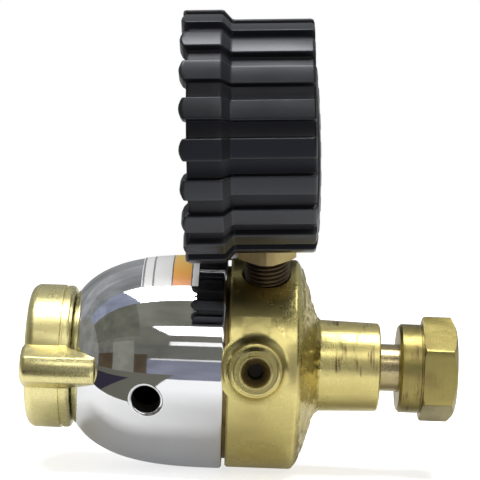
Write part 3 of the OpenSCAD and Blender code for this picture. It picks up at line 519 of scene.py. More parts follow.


# dark brass for bores and the bonnet's inside, a painted shade where little light reaches
BORE_SHADE = metal("painted_shade_bore", (0.16, 0.145, 0.12), (0.08, 0.07, 0.06), 0.6, 0.45, 0.7, 0.2, 0.2, 0.2)
SEAT_BRASS = metal("drilled_brass", (0.55, 0.45, 0.22), (0.28, 0.20, 0.10), 0.7, 0.4, 0.6, 0.3, 0.2, 0.3)
outlet_r, outlet_tip, nose_r, outlet_bore = 7.1, boss_face + 8, 4.9, 2.3
fitting_outline = [(0, 26.6), (6.85, 26.6), (6.85, boss_face + 0.1), (6.4, boss_face + 0.1),
                   (6.4, boss_face + 1.2), (outlet_r - 0.45, boss_face + 1.2),
                   (outlet_r - 0.45, outlet_tip - 2.8), (6.2, outlet_tip - 2),
                   (nose_r + 0.1, outlet_tip - 2), (nose_r, outlet_tip - 1.7), (nose_r, outlet_tip - 0.2),
                   (nose_r - 0.2, outlet_tip), (nose_r - 0.6, outlet_tip), (nose_r - 0.8, outlet_tip - 0.3),
                   (outlet_bore, outlet_tip - 4.5), (outlet_bore, 28), (0, 28)]
fitting = as_object("outlet_fitting_turned", spun(fitting_outline, outlet_place))
settle(fitting, "regulator", BRASS, ["outlet_fitting"])
refinish(fitting, SEAT_BRASS, lambda spot: spot.z > 28 and spot.xy.length < nose_r - 0.75, outlet_place)
# the outlet's bore takes the painted shade
refinish(fitting, BORE_SHADE, lambda spot: spot.z > 28 and spot.xy.length < outlet_bore + 0.1, outlet_place)
outlet_thread = thread("outlet_thread", outlet_place, boss_face + 0.6, 3, 1.41, outlet_r - 0.45, outlet_r)
settle(outlet_thread, "regulator", BRASS)


# ---- Bonnet ----
# The bell bonnet is forged brass, polished and plated with bright chrome. Its skirt screws over the
# body's spigot, and one vent hole is drilled into the spring's room.

CHROME = metal("bright_chrome", (0.71, 0.715, 0.73), (0.56, 0.56, 0.55), 0.15, 0.03, 0.10, 0.2, 0.05, 0.025)
skirt, bonnet_r, bonnet_len, close_len = face - 1.0, 32.8, 46.1, 50.0
nose = skirt - bonnet_len
vent_back, vent_below, vent_r, vent_round, skirt_round = 22.7, 18.8, 4.1, 1.3, 1.0


def bell(s, radius=bonnet_r, length=close_len):
    """The bonnet's radius at a distance from its skirt."""
    return radius * (1 - (s / length) ** 3) ** (1 / 3)


bell_steps = 64
bell_len = bonnet_len - skirt_round
outer = [(skirt - s, bell(s)) for s in (skirt_round + bell_len * sin(pi / 2 * i / bell_steps)
                                        for i in range(1, bell_steps + 1))]
inner = [(skirt - s, bell(s, 26.5, close_len - 2)) for s in (13 + 29.1 * sin(pi / 2 * (1 - i / 24))
                                                             for i in range(25))]
bonnet_outline = [(skirt, spigot_r + 0.9)]
bonnet_outline += arc(skirt - skirt_round, bonnet_r - skirt_round, skirt_round, 0, 90, 6)
bonnet_outline += outer + [(nose, 9.05), (nose + 4, 9.05)] + inner
bonnet_outline += [(skirt - 13, spigot_r + 0.05), (skirt - 0.8, spigot_r + 0.05)]
bonnet = as_object("bonnet_bell", turned(bonnet_outline, steps=224, closed=True))
vent_place = upright(skirt - vent_back, 90 + vent_below)


def vent_tool():
    """A drill whose rounded mouth follows the bell's double curve."""
    outline, above = [(0, 10)], {}
    for i in range(7):
        turn = radians(15 * i)
        outline.append((vent_r + vent_round * (1 - cos(turn)), 30 + i))
        above[30 + i] = -vent_round * (1 - sin(turn))
    outline.insert(1, (vent_r, 10))
    outline += [(vent_r + vent_round + 2.0, 37), (vent_r + vent_round + 2.0, 45), (0, 45)]
    above[37] = 2.2
    bm = spun(outline, Matrix.Identity(4))
    for v in bm.verts:
        rise = above.get(round(v.co.z / MM))
        if rise is not None:
            across = v.co.y / MM
            v.co.z = (sqrt(bell(vent_back - v.co.x / MM) ** 2 - across ** 2) + rise) * MM
    return as_object("vent_tool", bm, place=vent_place)


combine(bonnet, vent_tool(), "DIFFERENCE")
smooth_faces(bonnet.data, 20)


def true_bell_normals(mesh):
    """Gives the bell's outer skin the exact normals of its curve, so that the mirror shows no facets."""
    normals = [list(corner.vector) for corner in mesh.corner_normals]
    for face_ring in mesh.polygons:
        on_skin = all(abs(hypot(mesh.vertices[v].co.y, mesh.vertices[v].co.z) / MM
                          - bell(min(max(skirt - mesh.vertices[v].co.x / MM, 0), bonnet_len))) < 0.03
                      for v in face_ring.vertices)
        if not on_skin or face_ring.center.x / MM > skirt - skirt_round:
            continue
        for loop in face_ring.loop_indices:
            co = mesh.vertices[mesh.loops[loop].vertex_index].co / MM
            s = skirt - co.x
            slope = bonnet_r / close_len * (s / close_len) ** 2 * (1 - (s / close_len) ** 3) ** (-2 / 3)
            r = hypot(co.y, co.z)
            normals[loop] = list(Vector((-slope, co.y / r, co.z / r)).normalized())
    mesh.normals_split_custom_set(normals)


true_bell_normals(bonnet.data)
settle(bonnet, "regulator", CHROME, ["bonnet"])


def in_vent(spot):
    """Whether a spot in the vent's frame lies on its drilled wall."""
    return 0 < spot.z < 29.9 and hypot(spot.x, spot.y) < vent_r + 0.02


def in_spring_room(spot):
    """Whether a spot lies on the bonnet's unplated inside."""
    back = skirt - spot.x
    return 7.6 < back < bonnet_len - 3.9 and hypot(spot.y, spot.z) < bell(back) - 2.5


# the vent's wall and the bonnet's inside take the painted shade
refinish(bonnet, BORE_SHADE, in_vent, vent_place)
refinish(bonnet, BORE_SHADE, in_spring_room)


# ---- Sticker ----
# A blank vinyl sticker, white with one printed orange bar, wraps over the top of the bonnet. It is
# stuck down on the chrome, clear of the skirt.

bar_at = skirt - 13.4


def sticker_material():
    """White gloss vinyl with an orange bar in a black outline and two thin rules, printed a little ragged."""
    material, tree, surface = bare_material("sticker_vinyl")
    where = place_on(tree)
    speck = noise(tree, where, 900.0, 2.0)
    ragged = calculate(tree, "MULTIPLY", speck, 0.0003)
    along = add(tree, "ShaderNodeSeparateXYZ", {"Vector": where})
    # the orange turns lighter and yellower from 22 to 32 mm up the bonnet
    warm = ramp(tree, along.outputs["Z"], 0.022, 0.032)
    orange = mixed(tree, warm, (0.86, 0.20, 0.03, 1), (0.98, 0.62, 0.08, 1))
    black, grey = (0.03, 0.025, 0.02, 1), (0.2, 0.2, 0.2, 1)
    colour = (0.93, 0.93, 0.92, 1)
    for middle, half, paint in ((bar_at, 3.1, black), (bar_at, 2.75, orange), (bar_at - 8.6, 0.28, grey),
                                (bar_at - 11.6, 0.28, grey)):
        apart = calculate(tree, "ADD", along.outputs["X"], -middle * MM)
        apart = calculate(tree, "ABSOLUTE", calculate(tree, "ADD", apart, ragged))
        colour = mixed(tree, masked(tree, apart, (half + 0.06) * MM, (half - 0.06) * MM), colour, paint)
    feed(tree, surface, {"Base Color": colour, "Roughness": ramp(tree, speck, low=0.25, high=0.4),
                         "Coat Weight": 0.6, "Coat Roughness": 0.3})
    return material


sticker_from, sticker_to, sticker_low, sticker_high = 8.6, 25.7, 46.5, 122.0
sticker_bm = bmesh.new()
line = [sticker_bm.verts.new(((skirt - s) * MM, -(bell(s) + 0.1) * MM, 0))
        for s in (sticker_from + (sticker_to - sticker_from) * i / 16 for i in range(17))]
to_low_edge = Matrix.Rotation(radians(-sticker_low), 3, "X")
bmesh.ops.rotate(sticker_bm, verts=line, cent=(0, 0, 0), matrix=to_low_edge)
sweep(sticker_bm, line, (-1, 0, 0), radians(sticker_high - sticker_low), 60)
bmesh.ops.recalc_face_normals(sticker_bm, faces=sticker_bm.faces)
outward = sticker_bm.faces[0].calc_center_median()
if sticker_bm.faces[0].normal.dot(Vector((0, outward.y, outward.z))) < 0:
    bmesh.ops.reverse_faces(sticker_bm, faces=sticker_bm.faces)
bmesh.ops.solidify(sticker_bm, geom=sticker_bm.faces, thickness=0.09 * MM)
sticker = as_object("blank_sticker", sticker_bm, sharp=60)
settle(sticker, "regulator", sticker_material())


# ---- Knob ----
# The knob is one brass casting, a round cap with a T-bar across its face whose arms run back over
# the bonnet's shoulder. It is polished and its high edges are worn bright.

KNOB_BRASS = metal("polished_knob_brass", (0.83, 0.75, 0.37), (0.46, 0.36, 0.15),
                   0.6, 0.24, 0.42, 0.6, 0.3, 0.30)
knob_back, knob_r, knob_turn = nose - 0.3, 22.1, 5.4
knob_face = knob_back - 13.8
step_x, under_x, hub_end = knob_back - 2.6, knob_face + 4.1, knob_face + 6.6
knob_outline = [(knob_face, 0)] + arc(knob_face + 3, knob_r - 3, 3, 180, 90, 9)
knob_outline += [(step_x - 0.7, knob_r), (step_x - 0.5, knob_r - 0.65), (step_x, knob_r - 0.65),
                 (step_x + 0.1, knob_r - 0.2)]
knob_outline += arc(knob_back - 1.6, knob_r - 1.8, 1.6, 90, 0, 6)
knob_outline += [(knob_back, 18.3), (under_x, 18.3), (under_x, 9.0), (hub_end, 9.0), (hub_end, 6.05),
                 (hub_end - 3, 6.05), (hub_end - 3, 0)]
knob = as_object("knob_cast", turned(knob_outline, steps=160))

bar_proud, bar_tip, bar_root, bar_reach, bar_nose = 0.4, 3.7, 6.1, 28.6, 1.5
arm_end = knob_back + 8.2


def arm_half_width(r):
    """Half the bar's width at a radius: narrow at the outer face, flared in a fillet onto the cap."""
    fillet = max(0.0, 1 - abs(r - knob_r + 1.4) / 2.2) ** 2
    return bar_tip + (bar_root - bar_tip) * min(1.0, (bar_reach - r) / (bar_reach - knob_r)) + 0.5 * fillet


def knob_arm(turn):
    """One half of the T-bar: its side profile drawn out to its width, then crowned and flared."""
    bm = bmesh.new()
    front, crown = knob_face - bar_proud, 1.5
    side_line = [(front, 0)] + arc(front + 2.2, bar_reach - 2.2, 2.2, 180, 100, 5)
    side_line += [(arm_end - 1.2, bar_reach), (arm_end - 0.3, bar_reach - 0.5), (arm_end, bar_reach - 1.4),
                  (knob_back - 0.1, knob_r), (knob_back - 1.5, knob_r - 1.6), (under_x, knob_r - 1.6),
                  (under_x, 0)]
    side = bm.faces.new([bm.verts.new((x * MM, -r * MM, -MM)) for x, r in side_line])
    drawn = bmesh.ops.extrude_face_region(bm, geom=[side])
    moved = [g for g in drawn["geom"] if isinstance(g, bmesh.types.BMVert)]
    bmesh.ops.translate(bm, vec=(0, 0, 2 * MM), verts=moved)
    cuts = [((0, -r * MM, 0), (0, 1, 0)) for r in (18.5, 19.6, 20.7, 21.2, 21.8, 22.4, 23.0, 25.0, 26.8)]
    cuts += [((0, 0, z / 5 * MM), (0, 0, 1)) for z in range(-4, 5)]
    cuts += [(((front + bar_nose * d) * MM, 0, 0), (1, 0, 0)) for d in (0.1, 0.3, 0.6, 1.0)]
    for spot, across in cuts:
        bmesh.ops.bisect_plane(bm, geom=bm.verts[:] + bm.edges[:] + bm.faces[:], dist=1e-7, plane_co=spot,
                               plane_no=across)
    for v in bm.verts:
        r, share = -v.co.y / MM, v.co.z / MM
        outer = max(0.0, min(1.0, (r - knob_r) / (bar_reach - knob_r)))
        rounding = bar_nose * 0.8 * max(0.0, 1 - (v.co.x / MM - front) / bar_nose) ** 2
        v.co.z = share * (arm_half_width(r) - rounding) * MM
        v.co.y += crown * share * share * outer * MM
    bmesh.ops.recalc_face_normals(bm, faces=bm.faces)
    soften(bm, [e for e in bm.edges if e.calc_face_angle() > radians(27)
                and max(-v.co.y for v in e.verts) > 0.019], 0.35, 3)
    bmesh.ops.rotate(bm, verts=bm.verts, cent=(0, 0, 0), matrix=Matrix.Rotation(radians(turn), 3, "X"))
    return as_object("knob_arm", bm)


for turn in (knob_turn, knob_turn + 180):
    combine(knob, knob_arm(turn), "UNION")
smooth_faces(knob.data, 28)
settle(knob, "knob", KNOB_BRASS, ["knob"])


# ---- Gauge boots ----
# Each gauge sits in a thick boot of moulded black rubber, with a stepped flange round the dial and
# square ribs all the way round for grip. The ribs' front ends stand past the lip.

def coated(name, low, high, smooth, rough, scale, bump, grain=None):
    """A moulded, painted or enamelled finish that drifts between two shades, grained or softly uneven."""
    material, tree, surface = bare_material(name)
    where = place_on(tree)
    cloud = noise(tree, where, scale, 4.0)
    height = noise(tree, where, grain, 2.0) if grain else cloud
    relief = add(tree, "ShaderNodeBump", {"Height": height, "Strength": bump, "Distance": 0.0001})
    feed(tree, surface, {"Base Color": mixed(tree, cloud, (*low, 1), (*high, 1)),
                         "Roughness": ramp(tree, cloud, low=smooth, high=rough),
                         "Normal": relief.outputs["Normal"]})
    return material


def rubber(name, low, high, smooth, rough, sheen):
    """Moulded rubber with a faint grain and a cool sheen."""
    material = coated(name, low, high, smooth, rough, 70.0, 0.12, 2600.0)
    tree = material.node_tree
    feed(tree, tree.nodes["Principled BSDF"], {"Specular IOR Level": sheen,
                                               "Specular Tint": (0.90, 0.92, 1.0, 1)})
    return material


# satin rubber on the ribs, and a darker, duller copy between them and on the flange's slope as painted shade
RUBBER = rubber("moulded_rubber", (0.006, 0.006, 0.0075), (0.012, 0.0125, 0.0155), 0.26, 0.36, 0.6)
GROOVE_SHADE_RUBBER = rubber("groove_shade_rubber", (0.005, 0.005, 0.006), (0.009, 0.009, 0.0115), 0.34, 0.46, 0.32)
gauge_height = 78.5
ribs, rib_share, rib_phase, rib_deep = 20, 0.55, 3.1, 2.0
boot_front, boot_back, flange_len, slope, rib_nose, nose_crown = -23.0, 14.4, 11.4, 2.8, 2.0, 1.1
flange_end, lip = boot_front + flange_len, boot_front + rib_nose
flange_r, narrow_r, window_r, bezel_front, bezel_back = 36.4, 33.6, 28.6, -18.6, -9.8
case_room, bezel_room, stem_hole = 29.7, 32.1, (38, 53, 10.6)


def outer_line(wide, thin, heel):
    """A boot's side from its flange to its back at two radii, with the back corner cut."""
    return [(flange_end - 3, wide), (flange_end - 0.4, wide), (flange_end + 0.3, wide - 0.2),
            (flange_end + slope - 0.3, thin + 0.2), (flange_end + slope + 0.5, thin), (0, thin),
            (boot_back - 1.0, thin), (boot_back - 0.3, thin - 0.3), (boot_back, thin - heel),
            (boot_back, 26), (boot_back, 24.5), (boot_back - 0.6, 23.8), (boot_back - 0.6, 0)]


def boot_mesh():
    """The boot at the dial's centre: every ring point slides from the groove's line to the rib's."""
    g = flange_r - rib_deep
    inside = [(boot_back - 3, 0), (boot_back - 3, case_room), (bezel_back, case_room),
              (bezel_back, bezel_room), (bezel_front, bezel_room), (bezel_front, window_r),
              (lip + 0.4, window_r), (lip, window_r + 0.5)]
    groove = inside + [(lip, 31.2), (lip, 32.4), (lip, g - 0.9), (lip, g - 0.4), (lip + 0.12, g - 0.12),
                       (lip + 0.4, g), (lip + 1.0, g)] + outer_line(g, narrow_r - rib_deep, 1.0)
    rib = inside + [(lip - 0.7, 30.2), (boot_front + 0.25, 31.0), (boot_front, 31.9),
                    (boot_front, flange_r - 0.8), (boot_front + 0.22, flange_r - 0.22),
                    (boot_front + 0.8, flange_r), (boot_front + 1.6, flange_r)]
    rib += outer_line(flange_r, narrow_r, 1.2)
    # angles through one pitch, crowded at the rib's two edges, with how far each stands up
    half, soft = rib_share / 2, 0.02
    share = [(0.0, 1), (half * 0.35, 1), (half * 0.7, 1)]
    share += [(half + past * soft, up) for past, up in (
        (-1.8, 1), (-1.1, 0.985), (-0.6, 0.94), (-0.3, 0.86), (0.3, 0.14), (0.8, 0.03), (1.5, 0))]
    share.append((0.5, 0))
    pitch = share + [(1 - a, up) for a, up in reversed(share[1:-1])]
    steps = len(pitch) * ribs
    bm = bmesh.new()
    mark = bm.verts.layers.int.new("station")
    line = []
    for i, (x, r) in enumerate(groove):
        v = bm.verts.new((x * MM, 0, -r * MM))
        v[mark] = i
        line.append(v)
    sweep(bm, line, (1, 0, 0), 2 * pi, steps, merge=True)
    for v in bm.verts:
        x0, r0 = groove[v[mark]]
        x1, r1 = rib[v[mark]]
        if r0 == 0:
            continue
        step = round((atan2(v.co.y, -v.co.z) / (2 * pi)) % 1.0 * steps) % steps
        k, i = divmod(step, len(pitch))
        a, up = pitch[i]
        turn = 2 * pi * (k + a) / ribs - radians(rib_phase)
        r = r0 + (r1 - r0) * up
        if x1 < lip - 0.1:
            off = min(1.0, min(a, 1 - a) / half)
            x1 += nose_crown * off ** 2 * (lip - x1) / rib_nose
        v.co = Vector(((x0 + (x1 - x0) * up), r * sin(turn), -r * cos(turn))) * MM
    bmesh.ops.remove_doubles(bm, verts=bm.verts, dist=1e-6)
    bmesh.ops.recalc_face_normals(bm, faces=bm.faces)
    return bm


def at_dial(side):
    """The frame at the centre of a gauge's dial."""
    return gauge_place(side) @ Matrix.Translation((0, 0, gauge_height * MM))


def off_the_ribs(spot):
    """Whether a spot in the dial's frame lies between the ribs or on the flange's slope."""
    top_r = flange_r if spot.x < flange_end + slope / 2 else narrow_r
    on_slope = flange_end + 0.2 < spot.x < flange_end + slope - 0.2
    return on_slope or hypot(spot.y, spot.z) < top_r - rib_deep / 2


for side in ("near", "far"):
    boot = as_object(side + "_boot_moulded", boot_mesh(), place=at_dial(side))
    combine(boot, plug(gauge_place(side), *stem_hole), "DIFFERENCE")
    smooth_faces(boot.data, 50)
    settle(boot, "regulator", RUBBER, [side + "_gauge_boot"])
    # the grooves and the flange's slope take the darker rubber copy, a painted shade
    refinish(boot, GROOVE_SHADE_RUBBER, off_the_ribs, at_dial(side))


# ---- Gauge stems ----
# Each stem is turned from hexagon brass bar, with a taper pipe thread that is screwed part way into
# the body's port and leaves a few turns showing.

STEM_BRASS = metal("tarnished_stem_brass", (0.42, 0.34, 0.15), (0.14, 0.09, 0.06),
                   0.8, 0.26, 0.5, 0.7, 0.6, 0.5)
THREAD_BRASS = metal("sealed_thread_brass", (0.15, 0.115, 0.075), (0.04, 0.03, 0.025),
                     0.9, 0.35, 0.55, 0.4, 0.3, 0.5)
port_bottom, hex_from, hex_len, stem_flats, pipe_r, stem_root = port_floor + 0.1, 40.5, 6.5, 17.5, 6.85, 6.2
block_from, block_to, block_half, block_x, way_top, way_r = 51.5, 62.5, 8.0, (-4.1, 6.0), 56.5, 1.5
for side in ("near", "far"):
    place = gauge_place(side)
    stem_outline = [(0, port_bottom), (stem_root - 0.6, port_bottom), (stem_root, port_bottom + 0.6),
                    (stem_root, hex_from - 1.0), (stem_root + 0.5, hex_from + 0.1), (7.6, hex_from + 0.1),
                    (7.6, hex_from + hex_len - 0.1), (7.0, hex_from + hex_len), (7.0, block_from + 0.4),
                    (0, block_from + 0.4)]
    stem = as_object(side + "_stem", spun(stem_outline, place, 72))
    hexagon = hexagon_bar(hex_from, hex_from + hex_len, stem_flats, 0)
    hex_corner = stem_flats / sqrt(3)
    turned_off = [(hex_from, 0), (hex_from, hex_corner - 0.9), (hex_from + 0.6, hex_corner + 0.1),
                  (hex_from + hex_len - 0.7, hex_corner + 0.1), (hex_from + hex_len, hex_corner - 1.0),
                  (hex_from + hex_len, 0)]
    combine(hexagon, as_object("turned_off", turned(turned_off, steps=96)), "INTERSECT")
    hexagon.data.transform(place @ rotation(-90, "Y"))
    combine(stem, hexagon, "UNION")
    block_bm = bmesh.new()
    middle = Vector(((block_x[0] + block_x[1]) / 2, 0, (block_from + block_to) / 2)) * MM
    size = Vector((block_x[1] - block_x[0], 2 * block_half, block_to - block_from)) * MM
    at_block = place @ Matrix.Translation(middle)
    bmesh.ops.create_cube(block_bm, size=1.0, matrix=at_block @ Matrix.Diagonal((*size, 1)))
    soften(block_bm, block_bm.edges[:], 0.4, 2)
    combine(stem, as_object("block", block_bm), "UNION")
    combine(stem, plug(place, port_bottom - 1, way_top, way_r), "DIFFERENCE")
    stem.data.set_sharp_from_angle(angle=radians(28))
    settle(stem, "regulator", STEM_BRASS, [side + "_gauge_socket"])
    refinish(stem, THREAD_BRASS, lambda spot: spot.z < hex_from - 0.5, place)
    cut = thread(side + "_stem_thread", place, 30.4, 7, 1.41, stem_root, pipe_r)
    settle(cut, "regulator", THREAD_BRASS)


# ---- Gauge glass, dials and pointers ----
# A clear polycarbonate lens is held by a pressed steel bezel. The dial is enamelled white with printed
# ticks and plain numbers, and a blued steel pointer turns over it on the movement's shaft.

BEZEL_STEEL = metal("bright_bezel_steel", (0.62, 0.62, 0.63), (0.36, 0.35, 0.34),
                    0.4, 0.15, 0.35, 0.5, 0.2, 0.25)


def lens_material():
    """Clear plastic, a little scuffed."""
    material, tree, surface = bare_material("clear_lens")
    scuff = noise(tree, place_on(tree), 160.0, 5.0)
    feed(tree, surface, {"Base Color": (0.97, 0.98, 0.98, 1), "Transmission Weight": 1.0, "IOR": 1.5,
                         "Roughness": ramp(tree, scuff, 0.5, 0.8, 0.01, 0.12)})
    return material


LENS = lens_material()
ENAMEL = coated("dial_enamel", (0.78, 0.78, 0.76), (0.82, 0.82, 0.80), 0.35, 0.45, 120.0, 0.03)
PRINT = coated("dial_print", (0.012, 0.012, 0.013), (0.02, 0.02, 0.022), 0.4, 0.5, 400.0, 0.03)
BLUED = coated("blued_pointer", (0.012, 0.013, 0.018), (0.022, 0.024, 0.032), 0.25, 0.4, 300.0, 0.03)
dial_front, first_mark, scale_angle = -12.7, -45.0, 270.0
print_x, tick_r, number_r = dial_front * MM - 0.03 * MM, 26.5, 18.6


def dial_print(side, labels, minor):
    """Ticks and numbers printed on the dial, joined in one thin piece."""
    bm = bmesh.new()
    major = len(labels) - 1
    for i in range(major * minor + 1):
        big = i % minor == 0
        turn = radians(first_mark + scale_angle * i / (major * minor))
        long, wide = (4.0, 0.7) if big else (2.2, 0.35)
        place = (Matrix.Rotation(turn, 4, "X") @ Matrix.Translation((print_x, (tick_r - long / 2) * MM, 0))
                 @ Matrix.Diagonal((0.04 * MM, long * MM, wide * MM, 1)))
        bmesh.ops.create_cube(bm, size=1.0, matrix=place)
    for i, label in enumerate(labels):
        letters = bpy.data.curves.new("number", "FONT")
        letters.body, letters.size, letters.align_x, letters.align_y = label, 4.6 * MM, "CENTER", "CENTER"
        letters.extrude = 0.02 * MM
        held = bpy.data.objects.new("number", letters)
        bpy.context.scene.collection.objects.link(held)
        bpy.context.view_layer.update()
        mesh = bpy.data.meshes.new_from_object(held.evaluated_get(bpy.context.evaluated_depsgraph_get()))
        bpy.data.objects.remove(held)
        turn = radians(first_mark + scale_angle * i / major)
        upright_face = Matrix(((0, 0, -1, 0), (-1, 0, 0, 0), (0, 1, 0, 0), (0, 0, 0, 1)))
        across, up = number_r * MM * cos(turn), number_r * MM * sin(turn)
        mesh.transform(Matrix.Translation((print_x, across, up)) @ upright_face)
        bm.from_mesh(mesh)
    printed = as_object(side + "_dial_print", bm, place=at_dial(side))
    settle(printed, "regulator", PRINT)


dial_print("near", ("0", "50", "100", "150", "200"), 5)
dial_print("far", ("0", "1000", "2000", "3000", "4000"), 5)


# ---- Pieces kept as their solids ----
# The inner pieces keep their solid's shape and get the finish of the metal, rubber or plastic that
# each one is made of. Most are seen only when the set is taken apart.

STEEL = metal("turned_steel", (0.55, 0.55, 0.56), (0.33, 0.32, 0.31), 0.4, 0.22, 0.45, 0.7, 0.2, 0.3)
COPPER = metal("copper_washer", (0.72, 0.38, 0.26), (0.40, 0.20, 0.13), 0.4, 0.3, 0.5, 0.5, 0.2, 0.3)
BRONZE = metal("tube_bronze", (0.55, 0.40, 0.20), (0.32, 0.22, 0.11), 0.5, 0.3, 0.5, 0.4, 0.2, 0.4)
MOVEMENT_BRASS = metal("stamped_movement_brass", (0.66, 0.55, 0.24), (0.42, 0.33, 0.13),
                       0.3, 0.25, 0.4, 0.4, 0.2, 0.2)
PAINT = coated("black_case_paint", (0.015, 0.015, 0.016), (0.03, 0.03, 0.032), 0.35, 0.5, 500.0, 0.2)
SHEET_RUBBER = coated("diaphragm_rubber", (0.02, 0.02, 0.021), (0.04, 0.04, 0.041), 0.5, 0.7, 250.0, 0.3)
SEAT = coated("seat_polymer", (0.62, 0.58, 0.48), (0.70, 0.66, 0.56), 0.35, 0.5, 300.0, 0.1)
KEPT = {"gauge_case": PAINT, "gauge_bezel": BEZEL_STEEL, "gauge_lens": LENS, "gauge_dial": ENAMEL,
        "gauge_dial_screws": STEEL, "gauge_pointer": BLUED, "gauge_pinion": MOVEMENT_BRASS,
        "gauge_sector": MOVEMENT_BRASS, "gauge_link": STEEL, "gauge_movement": MOVEMENT_BRASS,
        "gauge_bourdon_tube": BRONZE, "gauge_socket": STEM_BRASS, "gauge_boot": RUBBER, "body": BRASS,
        "bonnet": CHROME, "bonnet_bushing": BRASS, "slip_ring": BRASS, "diaphragm": SHEET_RUBBER,
        "nozzle": BRASS, "nozzle_washer": COPPER, "valve_seat": SEAT, "inlet_filter": BRONZE,
        "knob": KNOB_BRASS, "inlet_nut": INLET_BRASS, "inlet_nipple": INLET_BRASS, "outlet_fitting": BRASS}
for name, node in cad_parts.items():
    node.data.materials.clear()
    node.data.materials.append(KEPT.get(name.removeprefix("near_").removeprefix("far_"), STEEL))


# ---- Springs ----
# Both coil springs are wound steel wire. Each is copied from its solid with its doubled points merged, and
# stands in the solid's place.

for spring_name, pushed in (("adjusting_spring", "spring_follower"), ("poppet_spring", "poppet")):
    wound = bmesh.new()
    wound.from_mesh(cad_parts[spring_name].data)
    bmesh.ops.remove_doubles(wound, verts=wound.verts, dist=1e-6)
    spring = as_object(spring_name + "_wound", wound)
    spring.data.materials.append(STEEL)
    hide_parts(spring_name)
    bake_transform(spring)


# ---- Floor, lights and camera ----
# A white sweep under the set, one long softbox overhead, and a studio that only gloss can see: dark
# walls with two strip lamps, a pale ceiling behind and the white table. Sizes here are in metres.

def glow_material(name, colour, strength):
    """A wall or lamp face that shines the same way in every direction, a little unevenly."""
    material, tree, surface = bare_material(name)
    tree.nodes.remove(surface)
    patchy = ramp(tree, noise(tree, place_on(tree), 2.2, 5.0), 0.35, 0.65, 0.82 * strength, 1.18 * strength)
    glow = add(tree, "ShaderNodeEmission", {"Color": (*colour, 1), "Strength": patchy})
    feed(tree, tree.nodes["Material Output"], {"Surface": glow.outputs[0]})
    return material


def stage_only_gloss(made, material):
    """Marks a piece of the studio that is seen in reflections alone."""
    made.data.materials.append(material)
    made.visible_camera = False
    made.visible_diffuse = False
    made.visible_shadow = False
    made.visible_transmission = False


def wall(name, low, high, left, right, colour, strength=1.0, distance=1.75, slant=0.0):
    """A strip of a round room about the main axis, in degrees from the camera's side over the top."""
    bm = bmesh.new()
    ends = [bm.verts.new((x, -distance * cos(radians(low)), distance * sin(radians(low))))
            for x in (left, right)]
    sweep(bm, ends, (-1, 0, 0), radians(high - low), 16)
    for v in bm.verts:
        if abs(v.co.x - left) < 1e-6:
            height = (degrees(atan2(v.co.z, -v.co.y)) - low) / (high - low)
            v.co.x += slant * height
    stage_only_gloss(as_object(name, bm), glow_material(name, colour, strength))


# name, lowest and highest degree, left and right end, colour, then strength, distance and slant where unusual
ROOM = [
    ("low_room", -30, 4, -3.0, 3.0, (0.27, 0.28, 0.35)),
    ("bench_edge", 3.2, 4.6, -0.59, 3.0, (0.9, 0.9, 0.9), 1.0, 1.6),
    ("bench_front", 4, 19, -3.0, 3.0, (0.18, 0.18, 0.16)),
    ("thin_strip", 19, 23, -0.36, 2.0, (1.0, 1.0, 0.97), 1.4, 1.6),
    ("between", 19, 40, -3.0, 3.0, (0.20, 0.195, 0.165)),
    ("strip", 30, 40, -0.36, 2.0, (1.0, 1.0, 0.99), 3.2, 1.6, -0.19),
    ("upper_room", 40, 71, -3.0, 3.0, (0.24, 0.24, 0.20)),
    ("upper_left", 30, 71, -3.0, -0.8, (0.17, 0.17, 0.135), 1.0, 1.7),
    ("ceiling_front", 71, 93, -3.0, 3.0, (0.33, 0.36, 0.46)),
    ("softbox_face", 71, 93, -0.67, 0.55, (1.0, 1.0, 1.0), 9.0, 1.6, -0.23),
    ("ceiling_back", 93, 116, -3.0, 3.0, (0.30, 0.31, 0.31)),
    ("back_wall_top", 116, 140, -3.0, 3.0, (0.42, 0.43, 0.44)),
    ("back_wall", 140, 172, -3.0, 3.0, (0.30, 0.31, 0.31)),
    ("pale_door", -29, 25, -1.5, -0.85, (0.27, 0.27, 0.23), 1.0, 1.55),
    ("left_panel", -12, 11, -2.6, -1.5, (0.105, 0.08, 0.05), 1.0, 1.55),
    ("middle_panel", -15, 9, -0.85, -0.62, (0.105, 0.08, 0.055), 1.0, 1.55)]
for part in ROOM:
    wall(*part)


def panel(name, place):
    """A flat panel, two metres square until a matrix sizes and places it."""
    bm = bmesh.new()
    bmesh.ops.create_grid(bm, x_segments=1, y_segments=1, size=1.0)
    return as_object(name, bm, place=place)


for side_x, shade in ((-3.0, 0.30), (3.0, 0.03)):
    upright_panel = Matrix.Translation((side_x, -0.55, 0.7)) @ rotation(90, "Y")
    end_wall = panel("end_wall", upright_panel @ Matrix.Diagonal((1.6, 1.7, 1.0, 1.0)))
    stage_only_gloss(end_wall, glow_material("end_wall", (shade, shade, shade * 0.92), 1.0))
floor_z = -0.0332
# two dark cards on the floor, left of and in front of the set, seen only in reflections
for label, left, right, near_y, far_y, lift, shade in (
        ("dark_floor_card", -0.9, -0.106, -0.17, -0.047, 0.0008, (0.16, 0.155, 0.125)),
        ("dark_patch", -0.34, -0.145, -0.11, -0.047, 0.0016, (0.04, 0.035, 0.055))):
    middle = Matrix.Translation(((left + right) / 2, (near_y + far_y) / 2, floor_z + lift))
    bench = panel(label, middle @ Matrix.Diagonal(((right - left) / 2, (far_y - near_y) / 2, 1.0, 1.0)))
    stage_only_gloss(bench, glow_material(label, shade, 1.0))


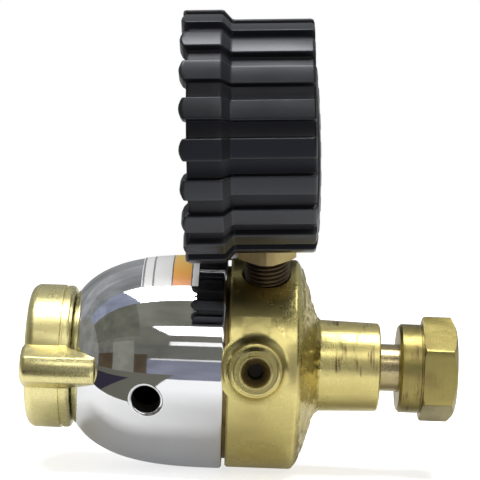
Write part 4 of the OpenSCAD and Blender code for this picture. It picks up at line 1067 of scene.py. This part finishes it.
def floor_material():
    """White paper that shows as white to the camera and keeps the set's shadow; in reflections its glow fades
    under and behind the set, a painted shade.
    """
    material, tree, surface = bare_material("white_sweep")
    tree.nodes.remove(surface)
    ray = add(tree, "ShaderNodeLightPath").outputs
    gloss = calculate(tree, "MAXIMUM", ray["Is Glossy Ray"], ray["Is Transmission Ray"])
    away = add(tree, "ShaderNodeSeparateXYZ", {"Vector": place_on(tree)}).outputs["Y"]
    seen = calculate(tree, "MULTIPLY", ray["Is Camera Ray"], ramp(tree, away, 0.12, 0.5, 0.70, 1.0))
    # in reflections the floor glows less under and behind the set, a painted shade
    lift = calculate(tree, "MULTIPLY_ADD", gloss, ramp(tree, away, 0.02, -0.06, 0.07, 0.30), seen)
    glow = add(tree, "ShaderNodeEmission", {"Color": (1, 1, 1, 1), "Strength": lift})
    matt = add(tree, "ShaderNodeBsdfDiffuse", {"Color": (0.88, 0.88, 0.88, 1)})
    both = add(tree, "ShaderNodeAddShader", {0: matt.outputs[0], 1: glow.outputs[0]})
    feed(tree, tree.nodes["Material Output"], {"Surface": both.outputs[0]})
    return material


floor_front, half_wide, half_deep = -0.128, 3, 2
floor_middle = Matrix.Translation((0, floor_front + half_deep, floor_z))
sweep_floor = panel("floor", floor_middle @ Matrix.Diagonal((half_wide, half_deep, 1, 1)))
sweep_floor.data.materials.append(floor_material())

world = bpy.data.worlds.new("studio")
bpy.context.scene.world = world
world.use_nodes = True
tree = world.node_tree
ray = add(tree, "ShaderNodeLightPath").outputs
direct = calculate(tree, "MAXIMUM", ray["Is Camera Ray"], ray["Is Glossy Ray"])
direct = calculate(tree, "MAXIMUM", direct, ray["Is Transmission Ray"])
feed(tree, tree.nodes["Background"], {"Color": (1, 1, 1, 1), "Strength": ramp(tree, direct, low=0.25)})

softbox_data = bpy.data.lights.new("softbox", "AREA")
softbox_data.shape, softbox_data.size, softbox_data.size_y, softbox_data.energy = "RECTANGLE", 1.3, 0.5, 23.0
softbox = bpy.data.objects.new("softbox", softbox_data)
softbox.location = (-0.1, -0.2, 1.5)
softbox.rotation_euler = (radians(8), 0, 0)
softbox.visible_glossy = False
bpy.context.scene.collection.objects.link(softbox)

camera_data = bpy.data.cameras.new("camera")
camera_data.sensor_width, camera_data.lens = 36.0, 131.7
camera_data.clip_start = 0.01
camera = bpy.data.objects.new("camera", camera_data)
bpy.context.scene.collection.objects.link(camera)
bpy.context.scene.camera = camera
roll = atan(0.0366)
target, stand_off = Vector((-0.0676, 0, 0.0379)), 0.545
up = Vector((-sin(roll), 0, cos(roll)))
ahead = Vector((0, 1, 0))
right = ahead.cross(up)
camera.matrix_world = Matrix((
    (right.x, up.x, -ahead.x, target.x),
    (right.y, up.y, -ahead.y, -stand_off),
    (right.z, up.z, -ahead.z, target.z),
    (0, 0, 0, 1)))

bpy.context.scene.view_settings.view_transform = "Standard"
